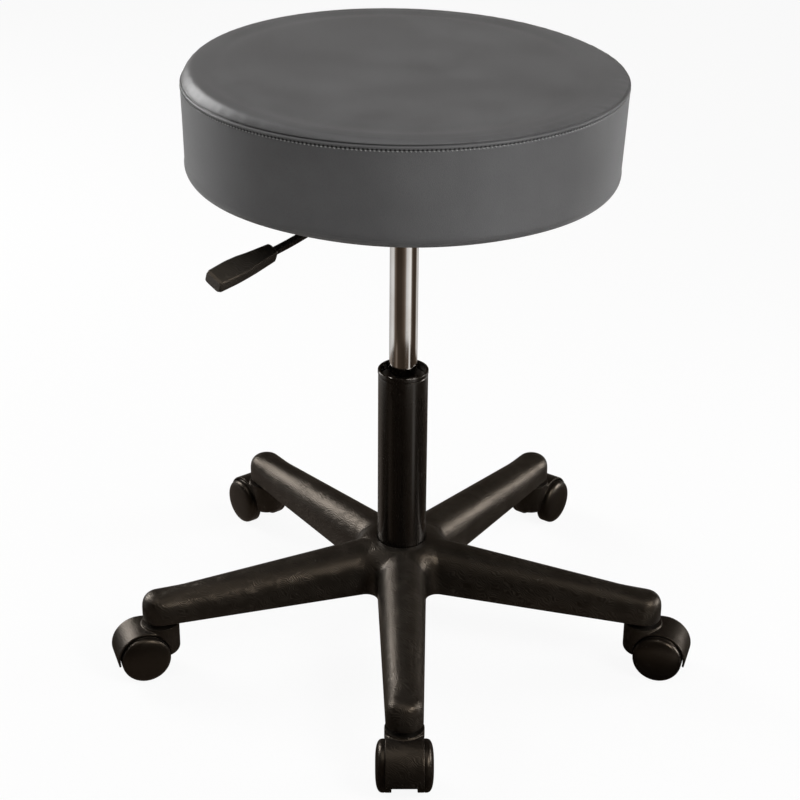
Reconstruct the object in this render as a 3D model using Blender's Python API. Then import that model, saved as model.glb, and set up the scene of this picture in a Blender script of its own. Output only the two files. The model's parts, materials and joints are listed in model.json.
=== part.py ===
"""Massage stool: a round padded seat on a gas lift, a moulded five-star base and twin-wheel casters.

The floor is z = 0, the origin is the middle of the footprint and the front leg points along -Y. The column
stands behind the origin, by half of what the front leg reaches further than the back ones. The lift is
fully extended.
"""
import math

import bmesh
import bpy
from mathutils import Matrix, Vector

# Height of the seat's top over the floor with the lift extended
SEAT_HEIGHT = 0.6159

# Fits between neighbouring pieces
FIT = 0.0003
RUNNING_FIT = 0.0007

# Facets of round pieces and the angle from which an edge is sharp
HOLE_FACETS = 12
PIN_FACETS = 16
RING_FACETS = 20
COLUMN_FACETS = 32
PLATE_FACETS = 32
SEAT_FACETS = 40
SHARP_EDGE = math.radians(40)

# Casters
WHEEL_RADIUS = 0.025
WHEEL_INNER_FACE = 0.0122
TREAD_WIDTH = 0.0068
WHEEL_DOME = 0.0085
WHEEL_DOME_FULLNESS = 0.75
WHEEL_DOME_STEPS = 4
AXLE_RADIUS = 0.003
AXLE_FACETS = 10
AXLE_REACH = 0.0205
CASTER_TRAIL = 0.020
HOOD_HALF_WIDTH = 0.0185
HOOD_WALL = 0.0018
HOOD_CLEARANCE = 0.0013
FENDER_TIP_ANGLE = math.radians(-13)
FENDER_ROOT_ANGLE = math.radians(160)
FENDER_STEPS = 12
NECK_RADIUS = 0.0185
NECK_RISE = 0.0298
NECK_SKIRT = 0.0305
NECK_ROUNDING = 0.006
WEB_HALF_WIDTH = 0.009
WEB_ROOT_ANGLE = math.radians(150)
WEB_STEPS = 4
AXLE_BOSS_RADIUS = 0.0085
STEM_RADIUS = 0.0055
STEM_LENGTH = 0.022
STEM_COLLAR_RADIUS = 0.010
SPIGOT_RADIUS = 0.005
SPIGOT_LENGTH = 0.016
STEM_SHOULDER_GAP = 0.0045

# Five-star base
LEG_COUNT = 5
STEM_CIRCLE = 0.258
LEG_END_HALF_WIDTH = 0.0185
LEG_END_REACH = 0.0175
LEG_ROOT_HALF_WIDTH = 0.0245
LEG_ROOT_DISTANCE = 0.060
LEG_END_DEPTH = 0.0285
HUB_DEPTH = 0.0485
HUB_COLLAR_WIDTH = 0.005
HUB_SKIRT = 0.008
CROTCH_FILLET = 0.012
LEG_WALL = 0.0035
LEG_RIB = 0.003
CELLS_PER_ROW = 4
CELLS_START = 0.064
CELLS_END_MARGIN = 0.030
FILLET_STEPS = 4
SIDE_STEPS = 4
TIP_STEPS = 5
ROUND_STEPS = 5

# Gas lift
TUBE_RADIUS = 0.025
TUBE_WALL = 0.002
TUBE_FOOT_INSET = 0.0015
TUBE_FOOT_REACH = 0.004
TUBE_FLOOR = 0.005
RIM_BEAD = 0.0004
RIM_HEIGHT = 0.0055
RIM_ROUNDING = 0.001
BUSH_RECESS = 0.004
BUSH_LENGTH = 0.070
ROD_RADIUS = 0.005
ROD_TAIL = 0.007
CLIP_RADIUS = 0.0085
CLIP_THICKNESS = 0.0015
CLIP_GROOVE = 0.0012
CLIP_SLOT_HALF_WIDTH = 0.0025
RACE_RADIUS = 0.013
RACE_THICKNESS = 0.0015
CAGE_THICKNESS = 0.003
CAGE_INSET = 0.001
SHOULDER_RADIUS = 0.009
SHOULDER_THICKNESS = 0.0025
BUMPER_RADIUS = 0.011
BUMPER_HEIGHT = 0.008
STROKE = 0.150
CYLINDER_RADIUS = 0.014
CYLINDER_WALL = 0.0015
CYLINDER_CAP = 0.012
PISTON_LENGTH = 0.012
DROP_CLEARANCE = 0.005
SOCKET_LENGTH = 0.032
SOCKET_WALL = 0.004
SOCKET_LIP = 0.003
SOCKET_LIP_THICKNESS = 0.002
TAPER_INSET = 0.0007
CYLINDER_HEAD = 0.0016
VALVE_RADIUS = 0.0035
VALVE_DEPTH = 0.010
VALVE_RISE = 0.0055

# Seat plate and lever
PLATE_THICKNESS = 0.002
PLATE_HALF_SIZE = 0.0825
PLATE_CORNER = 0.020
PLATE_HEIGHT = 0.0562
WELL_DEPTH = 0.0352
WELL_MOUTH_RADIUS = 0.062
WELL_FLOOR_RADIUS = 0.050
WELL_ROUNDING = 0.005
BOLT_SPACING = 0.130
BOLT_RADIUS = 0.004
BOLT_HEAD_HALF_WIDTH = 0.0065
BOLT_HEAD_HEIGHT = 0.0053
BOLT_END_COVER = 0.002
LEVER_AZIMUTH = math.radians(45)
LEVER_RADIUS = 0.004
LEVER_PIVOT_RADIUS = 0.058
LEVER_OVERRUN = 0.004
LEVER_GAP = 0.0005
LEVER_LEAD = 0.005
LEVER_BEND_RADIUS = 0.025
LEVER_DIP = math.radians(19.5)
LEVER_SWEEP_RADIUS = 0.451
LEVER_END_SLOPE = math.radians(6.6)
LEVER_GRIP = 0.032
BEND_STEPS = 4
SWEEP_STEPS = 6
GROMMET_WALL = 0.0022
GROMMET_LENGTH = 0.008
HANDLE_LENGTH = 0.072
HANDLE_ROLL = math.radians(-22)
HANDLE_CHAMFER = 0.0022
HANDLE_MOUTH = (0.0056, 0.0052, 0.0058)
HANDLE_NECK = (0.0068, 0.0064, 0.0070)
HANDLE_BELLY = (0.0088, 0.0066, 0.0080)
HANDLE_WAIST = (0.0106, 0.0064, 0.0062)
HANDLE_PAD = (0.0112, 0.0062, 0.0062)
HANDLE_LIP = (0.0102, 0.0058, 0.0074)
HANDLE_END = (0.0090, 0.0046, 0.0062)

# Padded seat
COVER_THICKNESS = 0.002
BOARD_INSET = 0.0005
BOARD_THICKNESS = 0.012
SEAT_RADIUS = 0.2075
SEAM_HEIGHT = 0.0945
CROWN_RISE = 0.0045
EDGE_ROLL = 0.0045
BAND_INSET = 0.0015
BAND_TAPER = 0.0015
BAND_ROUNDING = 0.018
WRAP_WIDTH = 0.022
CROWN_STATIONS = (0, 0.4, 0.7, 0.9)

# Heights of the base, worked up from the floor
AXLE_HEIGHT = WHEEL_RADIUS
NECK_TOP = AXLE_HEIGHT + NECK_RISE
LEG_BOTTOM = NECK_TOP + STEM_SHOULDER_GAP
HUB_TOP = LEG_BOTTOM + HUB_DEPTH
HUB_BOTTOM = LEG_BOTTOM - HUB_SKIRT
TUBE_BOTTOM = HUB_BOTTOM - TUBE_FOOT_REACH

# Heights of the seat and the lift, worked down from the seat's top
SEAM_Z = SEAT_HEIGHT - EDGE_ROLL - CROWN_RISE
SEAT_BOTTOM = SEAM_Z - SEAM_HEIGHT
BOARD_BOTTOM = SEAT_BOTTOM + COVER_THICKNESS + FIT
BOARD_TOP = BOARD_BOTTOM + BOARD_THICKNESS
PLATE_TOP = SEAT_BOTTOM - FIT
WELL_FLOOR = PLATE_TOP - WELL_DEPTH
SOCKET_BOTTOM = PLATE_TOP - PLATE_HEIGHT
SOCKET_TOP = SOCKET_BOTTOM + SOCKET_LENGTH
CYLINDER_TOP = SOCKET_TOP + CYLINDER_HEAD
VALVE_TOP = CYLINDER_TOP + VALVE_RISE
LEVER_HEIGHT = VALVE_TOP + LEVER_GAP + LEVER_RADIUS
TUBE_TOP = SOCKET_BOTTOM - STROKE - DROP_CLEARANCE
BUSH_TOP = TUBE_TOP - BUSH_RECESS

# Heights inside the tube, worked up from its floor
RACE_BOTTOM = TUBE_BOTTOM + TUBE_FLOOR + FIT
CAGE_BOTTOM = RACE_BOTTOM + RACE_THICKNESS + FIT
UPPER_RACE_BOTTOM = CAGE_BOTTOM + CAGE_THICKNESS + FIT
SHOULDER_BOTTOM = UPPER_RACE_BOTTOM + RACE_THICKNESS + FIT
BUMPER_BOTTOM = SHOULDER_BOTTOM + SHOULDER_THICKNESS + FIT
CYLINDER_BOTTOM = BUMPER_BOTTOM + BUMPER_HEIGHT + 2 * FIT + STROKE
PISTON_BOTTOM = CYLINDER_BOTTOM + CYLINDER_CAP + FIT

# Radii and angles that follow from the fits
ARCH_RADIUS = WHEEL_RADIUS + HOOD_CLEARANCE
HOOD_RADIUS = ARCH_RADIUS + HOOD_WALL
AXLE_BORE = AXLE_RADIUS + FIT
HUB_BORE = TUBE_RADIUS + FIT
HUB_COLLAR = HUB_BORE + HUB_COLLAR_WIDTH
TUBE_FOOT_RADIUS = TUBE_RADIUS - TUBE_FOOT_INSET
BUSH_BORE = CYLINDER_RADIUS + FIT
ROD_BORE = ROD_RADIUS + FIT
CYLINDER_BORE = CYLINDER_RADIUS - CYLINDER_WALL
PISTON_RADIUS = CYLINDER_BORE - FIT
TAPER_RADIUS = CYLINDER_RADIUS - TAPER_INSET
SOCKET_RADIUS = CYLINDER_RADIUS + FIT + SOCKET_WALL
GROMMET_BORE = LEVER_RADIUS + RUNNING_FIT
GROMMET_RADIUS = GROMMET_BORE + GROMMET_WALL
BAND_RADIUS = SEAT_RADIUS - BAND_INSET
BAND_FOOT_RADIUS = BAND_RADIUS - BAND_TAPER
BOARD_RADIUS = BAND_FOOT_RADIUS - BAND_ROUNDING - BOARD_INSET
WRAP_RADIUS = BOARD_RADIUS - WRAP_WIDTH
HALF_SECTOR = math.pi / LEG_COUNT
LEG_TAPER = math.atan2(LEG_ROOT_HALF_WIDTH - LEG_END_HALF_WIDTH, STEM_CIRCLE - LEG_ROOT_DISTANCE)
FRONT_REACH = STEM_CIRCLE + CASTER_TRAIL + HOOD_RADIUS
BACK_REACH = FRONT_REACH * math.cos(HALF_SECTOR) + HOOD_HALF_WIDTH * math.sin(HALF_SECTOR)
COLUMN_Y = (FRONT_REACH - BACK_REACH) / 2


def clear_scene():
    for item in list(bpy.data.objects):
        bpy.data.objects.remove(item, do_unlink=True)


def closed_mesh(verts, faces):
    """A mesh with its double points merged and its faces turned outwards."""
    mesh = bpy.data.meshes.new("solid")
    mesh.from_pydata(verts, [], faces)
    shape = bmesh.new()
    shape.from_mesh(mesh)
    bmesh.ops.remove_doubles(shape, verts=shape.verts, dist=1e-6)
    bmesh.ops.recalc_face_normals(shape, faces=shape.faces)
    shape.to_mesh(mesh)
    shape.free()
    return mesh


def loft(rings, closed=False):
    """Skin a row of equal rings, joined end to end when closed and capped otherwise."""
    count = len(rings[0])
    verts = [point for ring in rings for point in ring]
    faces = []
    for i in range(len(rings) if closed else len(rings) - 1):
        low = i * count
        high = (i + 1) % len(rings) * count
        for k in range(count):
            m = (k + 1) % count
            faces.append((low + k, low + m, high + m, high + k))
    if not closed:
        faces.append(tuple(range(count)))
        faces.append(tuple(range(len(verts) - count, len(verts))))
    return closed_mesh(verts, faces)


def circle(radius, height, segments, phase=0.0):
    angles = [phase + 2 * math.pi * k / segments for k in range(segments)]
    return [Vector((radius * math.cos(a), radius * math.sin(a), height)) for a in angles]


def lathe(profile, segments, phase=0.0):
    """Turn (radius, height) points about Z: a profile from axis to axis is a solid, any other one a ring."""
    solid = profile[0][0] == 0 and profile[-1][0] == 0
    rings = [circle(radius, height, segments, phase) for radius, height in profile]
    if not solid:
        return loft(rings, closed=True)
    rings[0] = circle(0, profile[0][1], segments)
    rings[-1] = circle(0, profile[-1][1], segments)
    count = len(rings)
    verts = [point for ring in rings for point in ring]
    faces = []
    for i in range(count - 1):
        for k in range(segments):
            m = (k + 1) % segments
            faces.append((i * segments + k, i * segments + m, (i + 1) * segments + m, (i + 1) * segments + k))
    return closed_mesh(verts, faces)


def arc(centre, radius, start, end, steps):
    """Points of a circular arc in a plane, with both ends."""
    angles = [start + (end - start) * k / steps for k in range(steps + 1)]
    return [(centre[0] + radius * math.cos(a), centre[1] + radius * math.sin(a)) for a in angles]


def prism(outline, low, high):
    """Extrude an (x, z) outline along Y."""
    return loft([[Vector((x, y, z)) for x, z in outline] for y in (low, high)])


def cylinder(radius, start, end, segments):
    """A straight round bar between two points."""
    axis = (end - start).normalized()
    turn = axis.to_track_quat("Z", "Y").to_matrix()
    rings = [[base + turn @ point for point in circle(radius, 0, segments)] for base in (start, end)]
    return loft(rings)


def combine(mesh, steps):
    """Join tool meshes to a mesh, or cut them out of it, one after the other."""
    body = bpy.data.objects.new("body", mesh)
    bpy.context.collection.objects.link(body)
    tools = []
    for operation, tool_mesh in steps:
        tool = bpy.data.objects.new("tool", tool_mesh)
        bpy.context.collection.objects.link(tool)
        modifier = body.modifiers.new(operation, "BOOLEAN")
        modifier.operation = operation
        modifier.object = tool
        tools.append(tool)
    bpy.context.view_layer.update()
    result = bpy.data.meshes.new_from_object(body.evaluated_get(bpy.context.evaluated_depsgraph_get()))
    for item in [body] + tools:
        bpy.data.objects.remove(item, do_unlink=True)
    return result


def material(name, colour, roughness, metallic=0.0):
    paint = bpy.data.materials.new(name)
    paint.use_nodes = True
    shader = paint.node_tree.nodes["Principled BSDF"]
    shader.inputs["Base Color"].default_value = (*colour, 1)
    shader.inputs["Roughness"].default_value = roughness
    shader.inputs["Metallic"].default_value = metallic
    return paint


def add(name, mesh, paint, parent, place=None):
    """One named sub-part, shaded smooth with its true edges kept sharp."""
    mesh.materials.clear()
    mesh.materials.append(paint)
    mesh.shade_smooth()
    mesh.set_sharp_from_angle(angle=SHARP_EDGE)
    item = bpy.data.objects.new(name, mesh)
    bpy.context.collection.objects.link(item)
    item.parent = parent
    if place is not None:
        item.matrix_local = place
    return item


def axis_empty(name, location, parent=None, angle=0.0):
    """An empty on a joint's axis, turned about Z."""
    empty = bpy.data.objects.new(name, None)
    bpy.context.collection.objects.link(empty)
    empty.parent = parent
    empty.location = location
    empty.rotation_euler = (0, 0, angle)
    return empty


def leg_half_width(x):
    return LEG_ROOT_HALF_WIDTH - math.tan(LEG_TAPER) * (x - LEG_ROOT_DISTANCE)


def leg_ridge(x):
    """Height of a leg's top line at a distance from the column."""
    share = (x - HUB_COLLAR) / (STEM_CIRCLE - HUB_COLLAR)
    return HUB_TOP + (LEG_BOTTOM + LEG_END_DEPTH - HUB_TOP) * share


def half_leg():
    """Outline points of one leg's upper half with the spine point each rises to, from crotch to tip.

    The outline is a fillet in the crotch, a straight tapering side and a quarter ellipse round the end.
    """
    level = LEG_ROOT_HALF_WIDTH + math.tan(LEG_TAPER) * LEG_ROOT_DISTANCE
    slope = math.sin(HALF_SECTOR) + math.tan(LEG_TAPER) * math.cos(HALF_SECTOR)
    reach = (CROTCH_FILLET / math.cos(LEG_TAPER) + level) / slope
    centre = (reach * math.cos(HALF_SECTOR), reach * math.sin(HALF_SECTOR))
    fillet = arc(centre, CROTCH_FILLET, math.pi + HALF_SECTOR, 1.5 * math.pi - LEG_TAPER, FILLET_STEPS)
    pairs = []
    for k, point in enumerate(fillet):
        angle = HALF_SECTOR * (1 - k / FILLET_STEPS)
        pairs.append((point, (HUB_COLLAR * math.cos(angle), HUB_COLLAR * math.sin(angle))))
    root = fillet[-1][0]
    for k in range(1, SIDE_STEPS + 1):
        share = k / SIDE_STEPS
        x = root + (STEM_CIRCLE - root) * share
        pairs.append(((x, leg_half_width(x)), (HUB_COLLAR + (STEM_CIRCLE - HUB_COLLAR) * share, 0.0)))
    for k in range(1, TIP_STEPS + 1):
        angle = math.pi / 2 * (1 - k / TIP_STEPS)
        tip = (STEM_CIRCLE + LEG_END_REACH * math.cos(angle), LEG_END_HALF_WIDTH * math.sin(angle))
        pairs.append((tip, (STEM_CIRCLE, 0.0)))
    return pairs


def leg_angle(index):
    """Direction of a leg in the floor plane, the first one pointing to the front."""
    return -math.pi / 2 + 2 * math.pi * index / LEG_COUNT


def star_loops():
    """The outline and the spine of all legs as two matching closed loops of points."""
    upper = half_leg()
    lower = [((p[0], -p[1]), (q[0], -q[1])) for p, q in upper]
    one_leg = lower[:-1] + upper[:0:-1]
    outline, spine = [], []
    for index in range(LEG_COUNT):
        turn = Matrix.Rotation(leg_angle(index), 2)
        outline += [(p[0], turn @ Vector(p)) for p, q in one_leg]
        spine += [(q[0] if q[1] == 0 else HUB_COLLAR, turn @ Vector(q)) for p, q in one_leg]
    return outline, spine


def star_shell():
    """The five legs and the hub: upright walls, full-round tops, a flat underside and a tapered bore."""
    outline, spine = star_loops()
    root = half_leg()[FILLET_STEPS][0][0]
    rings = [[Vector((p.x, p.y, LEG_BOTTOM)) for x, p in outline]]
    for k in range(ROUND_STEPS + 1):
        angle = math.pi / 2 * k / ROUND_STEPS
        ring = []
        for (px, p), (qx, q) in zip(outline, spine):
            x = min(max(px, root), STEM_CIRCLE)
            wall_top = leg_ridge(x) - leg_half_width(x)
            flat = p + (q - p) * (1 - math.cos(angle))
            ring.append(Vector((flat.x, flat.y, wall_top + (leg_ridge(qx) - wall_top) * math.sin(angle))))
        rings.append(ring)
    bore_foot = bore_radius(HUB_BOTTOM)
    for radius, height in ((HUB_BORE, HUB_TOP), (bore_foot, HUB_BOTTOM), (HUB_COLLAR, HUB_BOTTOM)):
        rings.append([hub_point(q, radius, height) for x, q in spine])
    rings.append([Vector((q.x, q.y, LEG_BOTTOM)) for x, q in spine])
    return rings


def hub_point(q, radius, height):
    """A spine point drawn in to the hub: points along a leg all fold to the leg's own direction."""
    direction = q.normalized()
    return Vector((direction.x * radius, direction.y * radius, height))


def bore_radius(height):
    """The hub's tapered bore at a height: the tube's own taper and the fit."""
    share = (HUB_TOP - height) / (HUB_TOP - TUBE_BOTTOM)
    return TUBE_RADIUS - TUBE_FOOT_INSET * share + FIT


def star_mesh():
    """Skin the star; the ridge and the flat underside fold shut along each leg."""
    rings = star_shell()
    count = len(rings[0])
    verts = [point for ring in rings for point in ring]
    outline, spine = star_loops()
    on_hub = [abs(q.length - HUB_COLLAR) < 1e-7 for x, q in spine]
    ridge = ROUND_STEPS + 1
    faces = []
    for i in range(len(rings)):
        j = (i + 1) % len(rings)
        hub_only = ridge <= i < len(rings) - 1
        for k in range(count):
            m = (k + 1) % count
            if hub_only and not (on_hub[k] and on_hub[m]):
                continue
            faces.append((i * count + k, i * count + m, j * count + m, j * count + k))
    return closed_mesh(verts, faces)


def leg_cells():
    """The open pockets under the legs: two rows in each, with a middle rib and cross ribs left between."""
    verts, faces = [], []
    pitch = (STEM_CIRCLE - CELLS_END_MARGIN - CELLS_START) / CELLS_PER_ROW
    for index in range(LEG_COUNT):
        turn = Matrix.Rotation(leg_angle(index), 3, "Z")
        for cell in range(CELLS_PER_ROW):
            near = CELLS_START + pitch * cell
            for side in (-1, 1):
                add_cell(verts, faces, turn, (near, near + pitch - LEG_RIB), side)
    return closed_mesh(verts, faces)


def add_cell(verts, faces, turn, span, side):
    """One pocket: upright walls and a ceiling that keeps the leg's wall under its round top."""
    first = len(verts)
    for top in (False, True):
        for x, outer in ((span[0], False), (span[1], False), (span[1], True), (span[0], True)):
            width = leg_half_width(x)
            y = width - LEG_WALL if outer else LEG_RIB / 2
            ceiling = leg_ridge(x) - width + math.sqrt(width ** 2 - y ** 2) - LEG_WALL
            verts.append(turn @ Vector((x, side * y, ceiling if top else LEG_BOTTOM - LEG_WALL)))
    for a, b in ((0, 1), (1, 2), (2, 3), (3, 0)):
        faces.append((first + a, first + b, first + b + 4, first + a + 4))
    faces.append((first, first + 1, first + 2, first + 3))
    faces.append((first + 4, first + 5, first + 6, first + 7))


def build_base(column, paint):
    steps = [("DIFFERENCE", leg_cells())]
    for index in range(LEG_COUNT):
        angle = leg_angle(index)
        foot = Vector((STEM_CIRCLE * math.cos(angle), STEM_CIRCLE * math.sin(angle), LEG_BOTTOM - LEG_WALL))
        top = foot + Vector((0, 0, LEG_WALL + STEM_LENGTH + FIT))
        steps.append(("DIFFERENCE", cylinder(STEM_RADIUS + FIT, foot, top, HOLE_FACETS)))
    add("star_base", combine(star_mesh(), steps), paint, column)


def wheel_profile():
    """Half a wheel from its blind axle bore round the tread and over the domed outer face.

    Radii of the tread reach out to the corners of the facets, so each facet's middle is on the true radius.
    """
    corner = 1 / math.cos(math.pi / RING_FACETS)
    rim = WHEEL_RADIUS * corner
    tread_end = WHEEL_INNER_FACE + TREAD_WIDTH
    bore_end = AXLE_REACH + FIT
    bore = AXLE_BORE * corner
    points = [(0, bore_end), (bore, bore_end), (bore, WHEEL_INNER_FACE)]
    points += [(rim, WHEEL_INNER_FACE), (rim, tread_end)]
    for k in range(1, WHEEL_DOME_STEPS):
        angle = math.pi / 2 * k / WHEEL_DOME_STEPS
        radius = rim * math.cos(angle) ** WHEEL_DOME_FULLNESS
        points.append((radius, tread_end + WHEEL_DOME * math.sin(angle) ** WHEEL_DOME_FULLNESS))
    points.append((0, tread_end + WHEEL_DOME))
    return points


def hood_mesh():
    """The moulded fork of a caster: a fender over the treads, a round neck and a web that holds the axle."""
    axle = (CASTER_TRAIL, AXLE_HEIGHT)
    outer = arc(axle, HOOD_RADIUS, FENDER_TIP_ANGLE, FENDER_ROOT_ANGLE, FENDER_STEPS)
    inner = arc(axle, ARCH_RADIUS - HOOD_WALL, FENDER_ROOT_ANGLE, FENDER_TIP_ANGLE, FENDER_STEPS // 2)
    fender = prism(outer + inner, -HOOD_HALF_WIDTH, HOOD_HALF_WIDTH)
    skirt = NECK_TOP - NECK_SKIRT
    rounding = arc((NECK_RADIUS - NECK_ROUNDING, skirt + NECK_ROUNDING), NECK_ROUNDING, 0, -math.pi / 2, 2)
    neck = lathe([(0, NECK_TOP), (NECK_RADIUS, NECK_TOP)] + rounding + [(0, skirt)], RING_FACETS)
    arch_ends = [Vector((axle[0], side * 2 * NECK_RADIUS, axle[1])) for side in (-1, 1)]
    arch = cylinder(ARCH_RADIUS, arch_ends[0], arch_ends[1], RING_FACETS)
    boss = arc(axle, AXLE_BOSS_RADIUS, math.pi, 2 * math.pi, WEB_STEPS)
    middle = (ARCH_RADIUS + HOOD_RADIUS) / 2
    crown = arc(axle, middle, math.acos(AXLE_BOSS_RADIUS / middle), WEB_ROOT_ANGLE, WEB_STEPS)
    skirt_inside = [(-NECK_RADIUS / 2, skirt + 2 * NECK_ROUNDING), (-NECK_RADIUS / 2, skirt + NECK_ROUNDING)]
    web = prism(boss + crown + skirt_inside, -WEB_HALF_WIDTH, WEB_HALF_WIDTH)
    bore_ends = [Vector((axle[0], side * NECK_RADIUS, axle[1])) for side in (-1, 1)]
    axle_bore = cylinder(AXLE_BORE, bore_ends[0], bore_ends[1], AXLE_FACETS)
    mouth = Vector((0, 0, NECK_TOP + NECK_ROUNDING))
    bore_floor = Vector((0, 0, NECK_TOP - SPIGOT_LENGTH - FIT))
    stem_bore = cylinder(SPIGOT_RADIUS + FIT, bore_floor, mouth, AXLE_FACETS)
    steps = [("UNION", fender), ("DIFFERENCE", arch), ("UNION", web)]
    return combine(neck, steps + [("DIFFERENCE", axle_bore), ("DIFFERENCE", stem_bore)])


def stem_mesh():
    collar_top = LEG_BOTTOM - FIT
    collar_bottom = NECK_TOP + FIT
    spigot_end = NECK_TOP - SPIGOT_LENGTH
    stem_top = LEG_BOTTOM + STEM_LENGTH
    profile = [(0, stem_top), (STEM_RADIUS, stem_top), (STEM_RADIUS, collar_top)]
    profile += [(STEM_COLLAR_RADIUS, collar_top), (STEM_COLLAR_RADIUS, collar_bottom)]
    profile += [(SPIGOT_RADIUS, collar_bottom), (SPIGOT_RADIUS, spigot_end), (0, spigot_end)]
    return lathe(profile, AXLE_FACETS)


def build_casters(column, steel, plastic, tread):
    """Five casters, each about an empty on its stem's axis and trailing outwards."""
    stem = stem_mesh()
    hood = hood_mesh()
    wheel = lathe(wheel_profile(), RING_FACETS, math.pi / RING_FACETS)
    axle_ends = [Vector((0, 0, side * AXLE_REACH)) for side in (-1, 1)]
    axle = cylinder(AXLE_RADIUS, axle_ends[0], axle_ends[1], AXLE_FACETS)
    hub = Matrix.Translation((CASTER_TRAIL, 0, AXLE_HEIGHT))
    for index in range(LEG_COUNT):
        angle = leg_angle(index)
        place = (STEM_CIRCLE * math.cos(angle), STEM_CIRCLE * math.sin(angle), 0)
        swivel = axis_empty(f"caster_axis_{index + 1}", place, column, angle)
        add(f"caster_stem_{index + 1}", stem, steel, swivel)
        add(f"caster_hood_{index + 1}", hood, plastic, swivel)
        add(f"caster_axle_{index + 1}", axle, steel, swivel, hub @ Matrix.Rotation(math.pi / 2, 4, "X"))
        for side, turn in (("left", math.pi / 2), ("right", -math.pi / 2)):
            name = f"caster_wheel_{index + 1}_{side}"
            add(name, wheel, tread, swivel, hub @ Matrix.Rotation(turn, 4, "X"))


def tube_profile():
    """The outer tube down its painted outside, across its pierced floor and up its inside."""
    rim = TUBE_RADIUS + RIM_BEAD
    inside = TUBE_RADIUS - TUBE_WALL
    inside_foot = TUBE_FOOT_RADIUS - TUBE_WALL
    floor_top = TUBE_BOTTOM + TUBE_FLOOR
    points = arc((rim - RIM_ROUNDING, TUBE_TOP - RIM_ROUNDING), RIM_ROUNDING, math.pi / 2, 0, 2)
    points += [(rim, TUBE_TOP - RIM_HEIGHT), (TUBE_RADIUS, TUBE_TOP - RIM_HEIGHT - RIM_BEAD)]
    points += [(TUBE_RADIUS, HUB_TOP), (TUBE_FOOT_RADIUS, TUBE_BOTTOM), (ROD_BORE, TUBE_BOTTOM)]
    points += [(ROD_BORE, floor_top), (inside_foot, floor_top), (inside, HUB_TOP), (inside, TUBE_TOP)]
    return points


def ring_profile(inner, outer, low, height):
    return [(inner, low + height), (outer, low + height), (outer, low), (inner, low)]


def clip_mesh():
    """A spring clip in the groove at the rod's tail, open at one side."""
    low = TUBE_BOTTOM - FIT - CLIP_THICKNESS
    ring = lathe(ring_profile(ROD_RADIUS - CLIP_GROOVE + FIT, CLIP_RADIUS, low, CLIP_THICKNESS), RING_FACETS)
    outline = [(0, low - CLIP_THICKNESS), (2 * CLIP_RADIUS, low - CLIP_THICKNESS)]
    outline += [(2 * CLIP_RADIUS, TUBE_BOTTOM), (0, TUBE_BOTTOM)]
    return combine(ring, [("DIFFERENCE", prism(outline, -CLIP_SLOT_HALF_WIDTH, CLIP_SLOT_HALF_WIDTH))])


def rod_profile():
    """The piston rod from the piston down to the clip groove and the tail."""
    groove = ROD_RADIUS - CLIP_GROOVE
    groove_top = TUBE_BOTTOM
    groove_bottom = TUBE_BOTTOM - CLIP_THICKNESS - 2 * FIT
    tail = TUBE_BOTTOM - ROD_TAIL
    shoulder_top = SHOULDER_BOTTOM + SHOULDER_THICKNESS
    points = [(0, PISTON_BOTTOM + PISTON_LENGTH), (PISTON_RADIUS, PISTON_BOTTOM + PISTON_LENGTH)]
    points += [(PISTON_RADIUS, PISTON_BOTTOM), (ROD_RADIUS, PISTON_BOTTOM), (ROD_RADIUS, shoulder_top)]
    points += [(SHOULDER_RADIUS, shoulder_top), (SHOULDER_RADIUS, SHOULDER_BOTTOM)]
    points += [(ROD_RADIUS, SHOULDER_BOTTOM), (ROD_RADIUS, groove_top)]
    points += [(groove, groove_top), (groove, groove_bottom)]
    points += [(ROD_RADIUS, groove_bottom), (ROD_RADIUS, tail), (0, tail)]
    return points


def cylinder_profile():
    """The gas cylinder: a tapered top pierced for the valve pin, a bored barrel and a pierced lower cap."""
    valve_bore = VALVE_RADIUS + FIT
    bore_top = CYLINDER_TOP - VALVE_DEPTH
    cap_top = CYLINDER_BOTTOM + CYLINDER_CAP
    points = [(valve_bore, CYLINDER_TOP), (TAPER_RADIUS, CYLINDER_TOP), (TAPER_RADIUS, SOCKET_TOP)]
    points += [(CYLINDER_RADIUS, SOCKET_BOTTOM), (CYLINDER_RADIUS, CYLINDER_BOTTOM)]
    points += [(ROD_BORE, CYLINDER_BOTTOM), (ROD_BORE, cap_top)]
    points += [(CYLINDER_BORE, cap_top), (CYLINDER_BORE, SOCKET_BOTTOM)]
    points += [(TAPER_RADIUS - CYLINDER_WALL, bore_top), (valve_bore, bore_top)]
    return points


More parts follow.
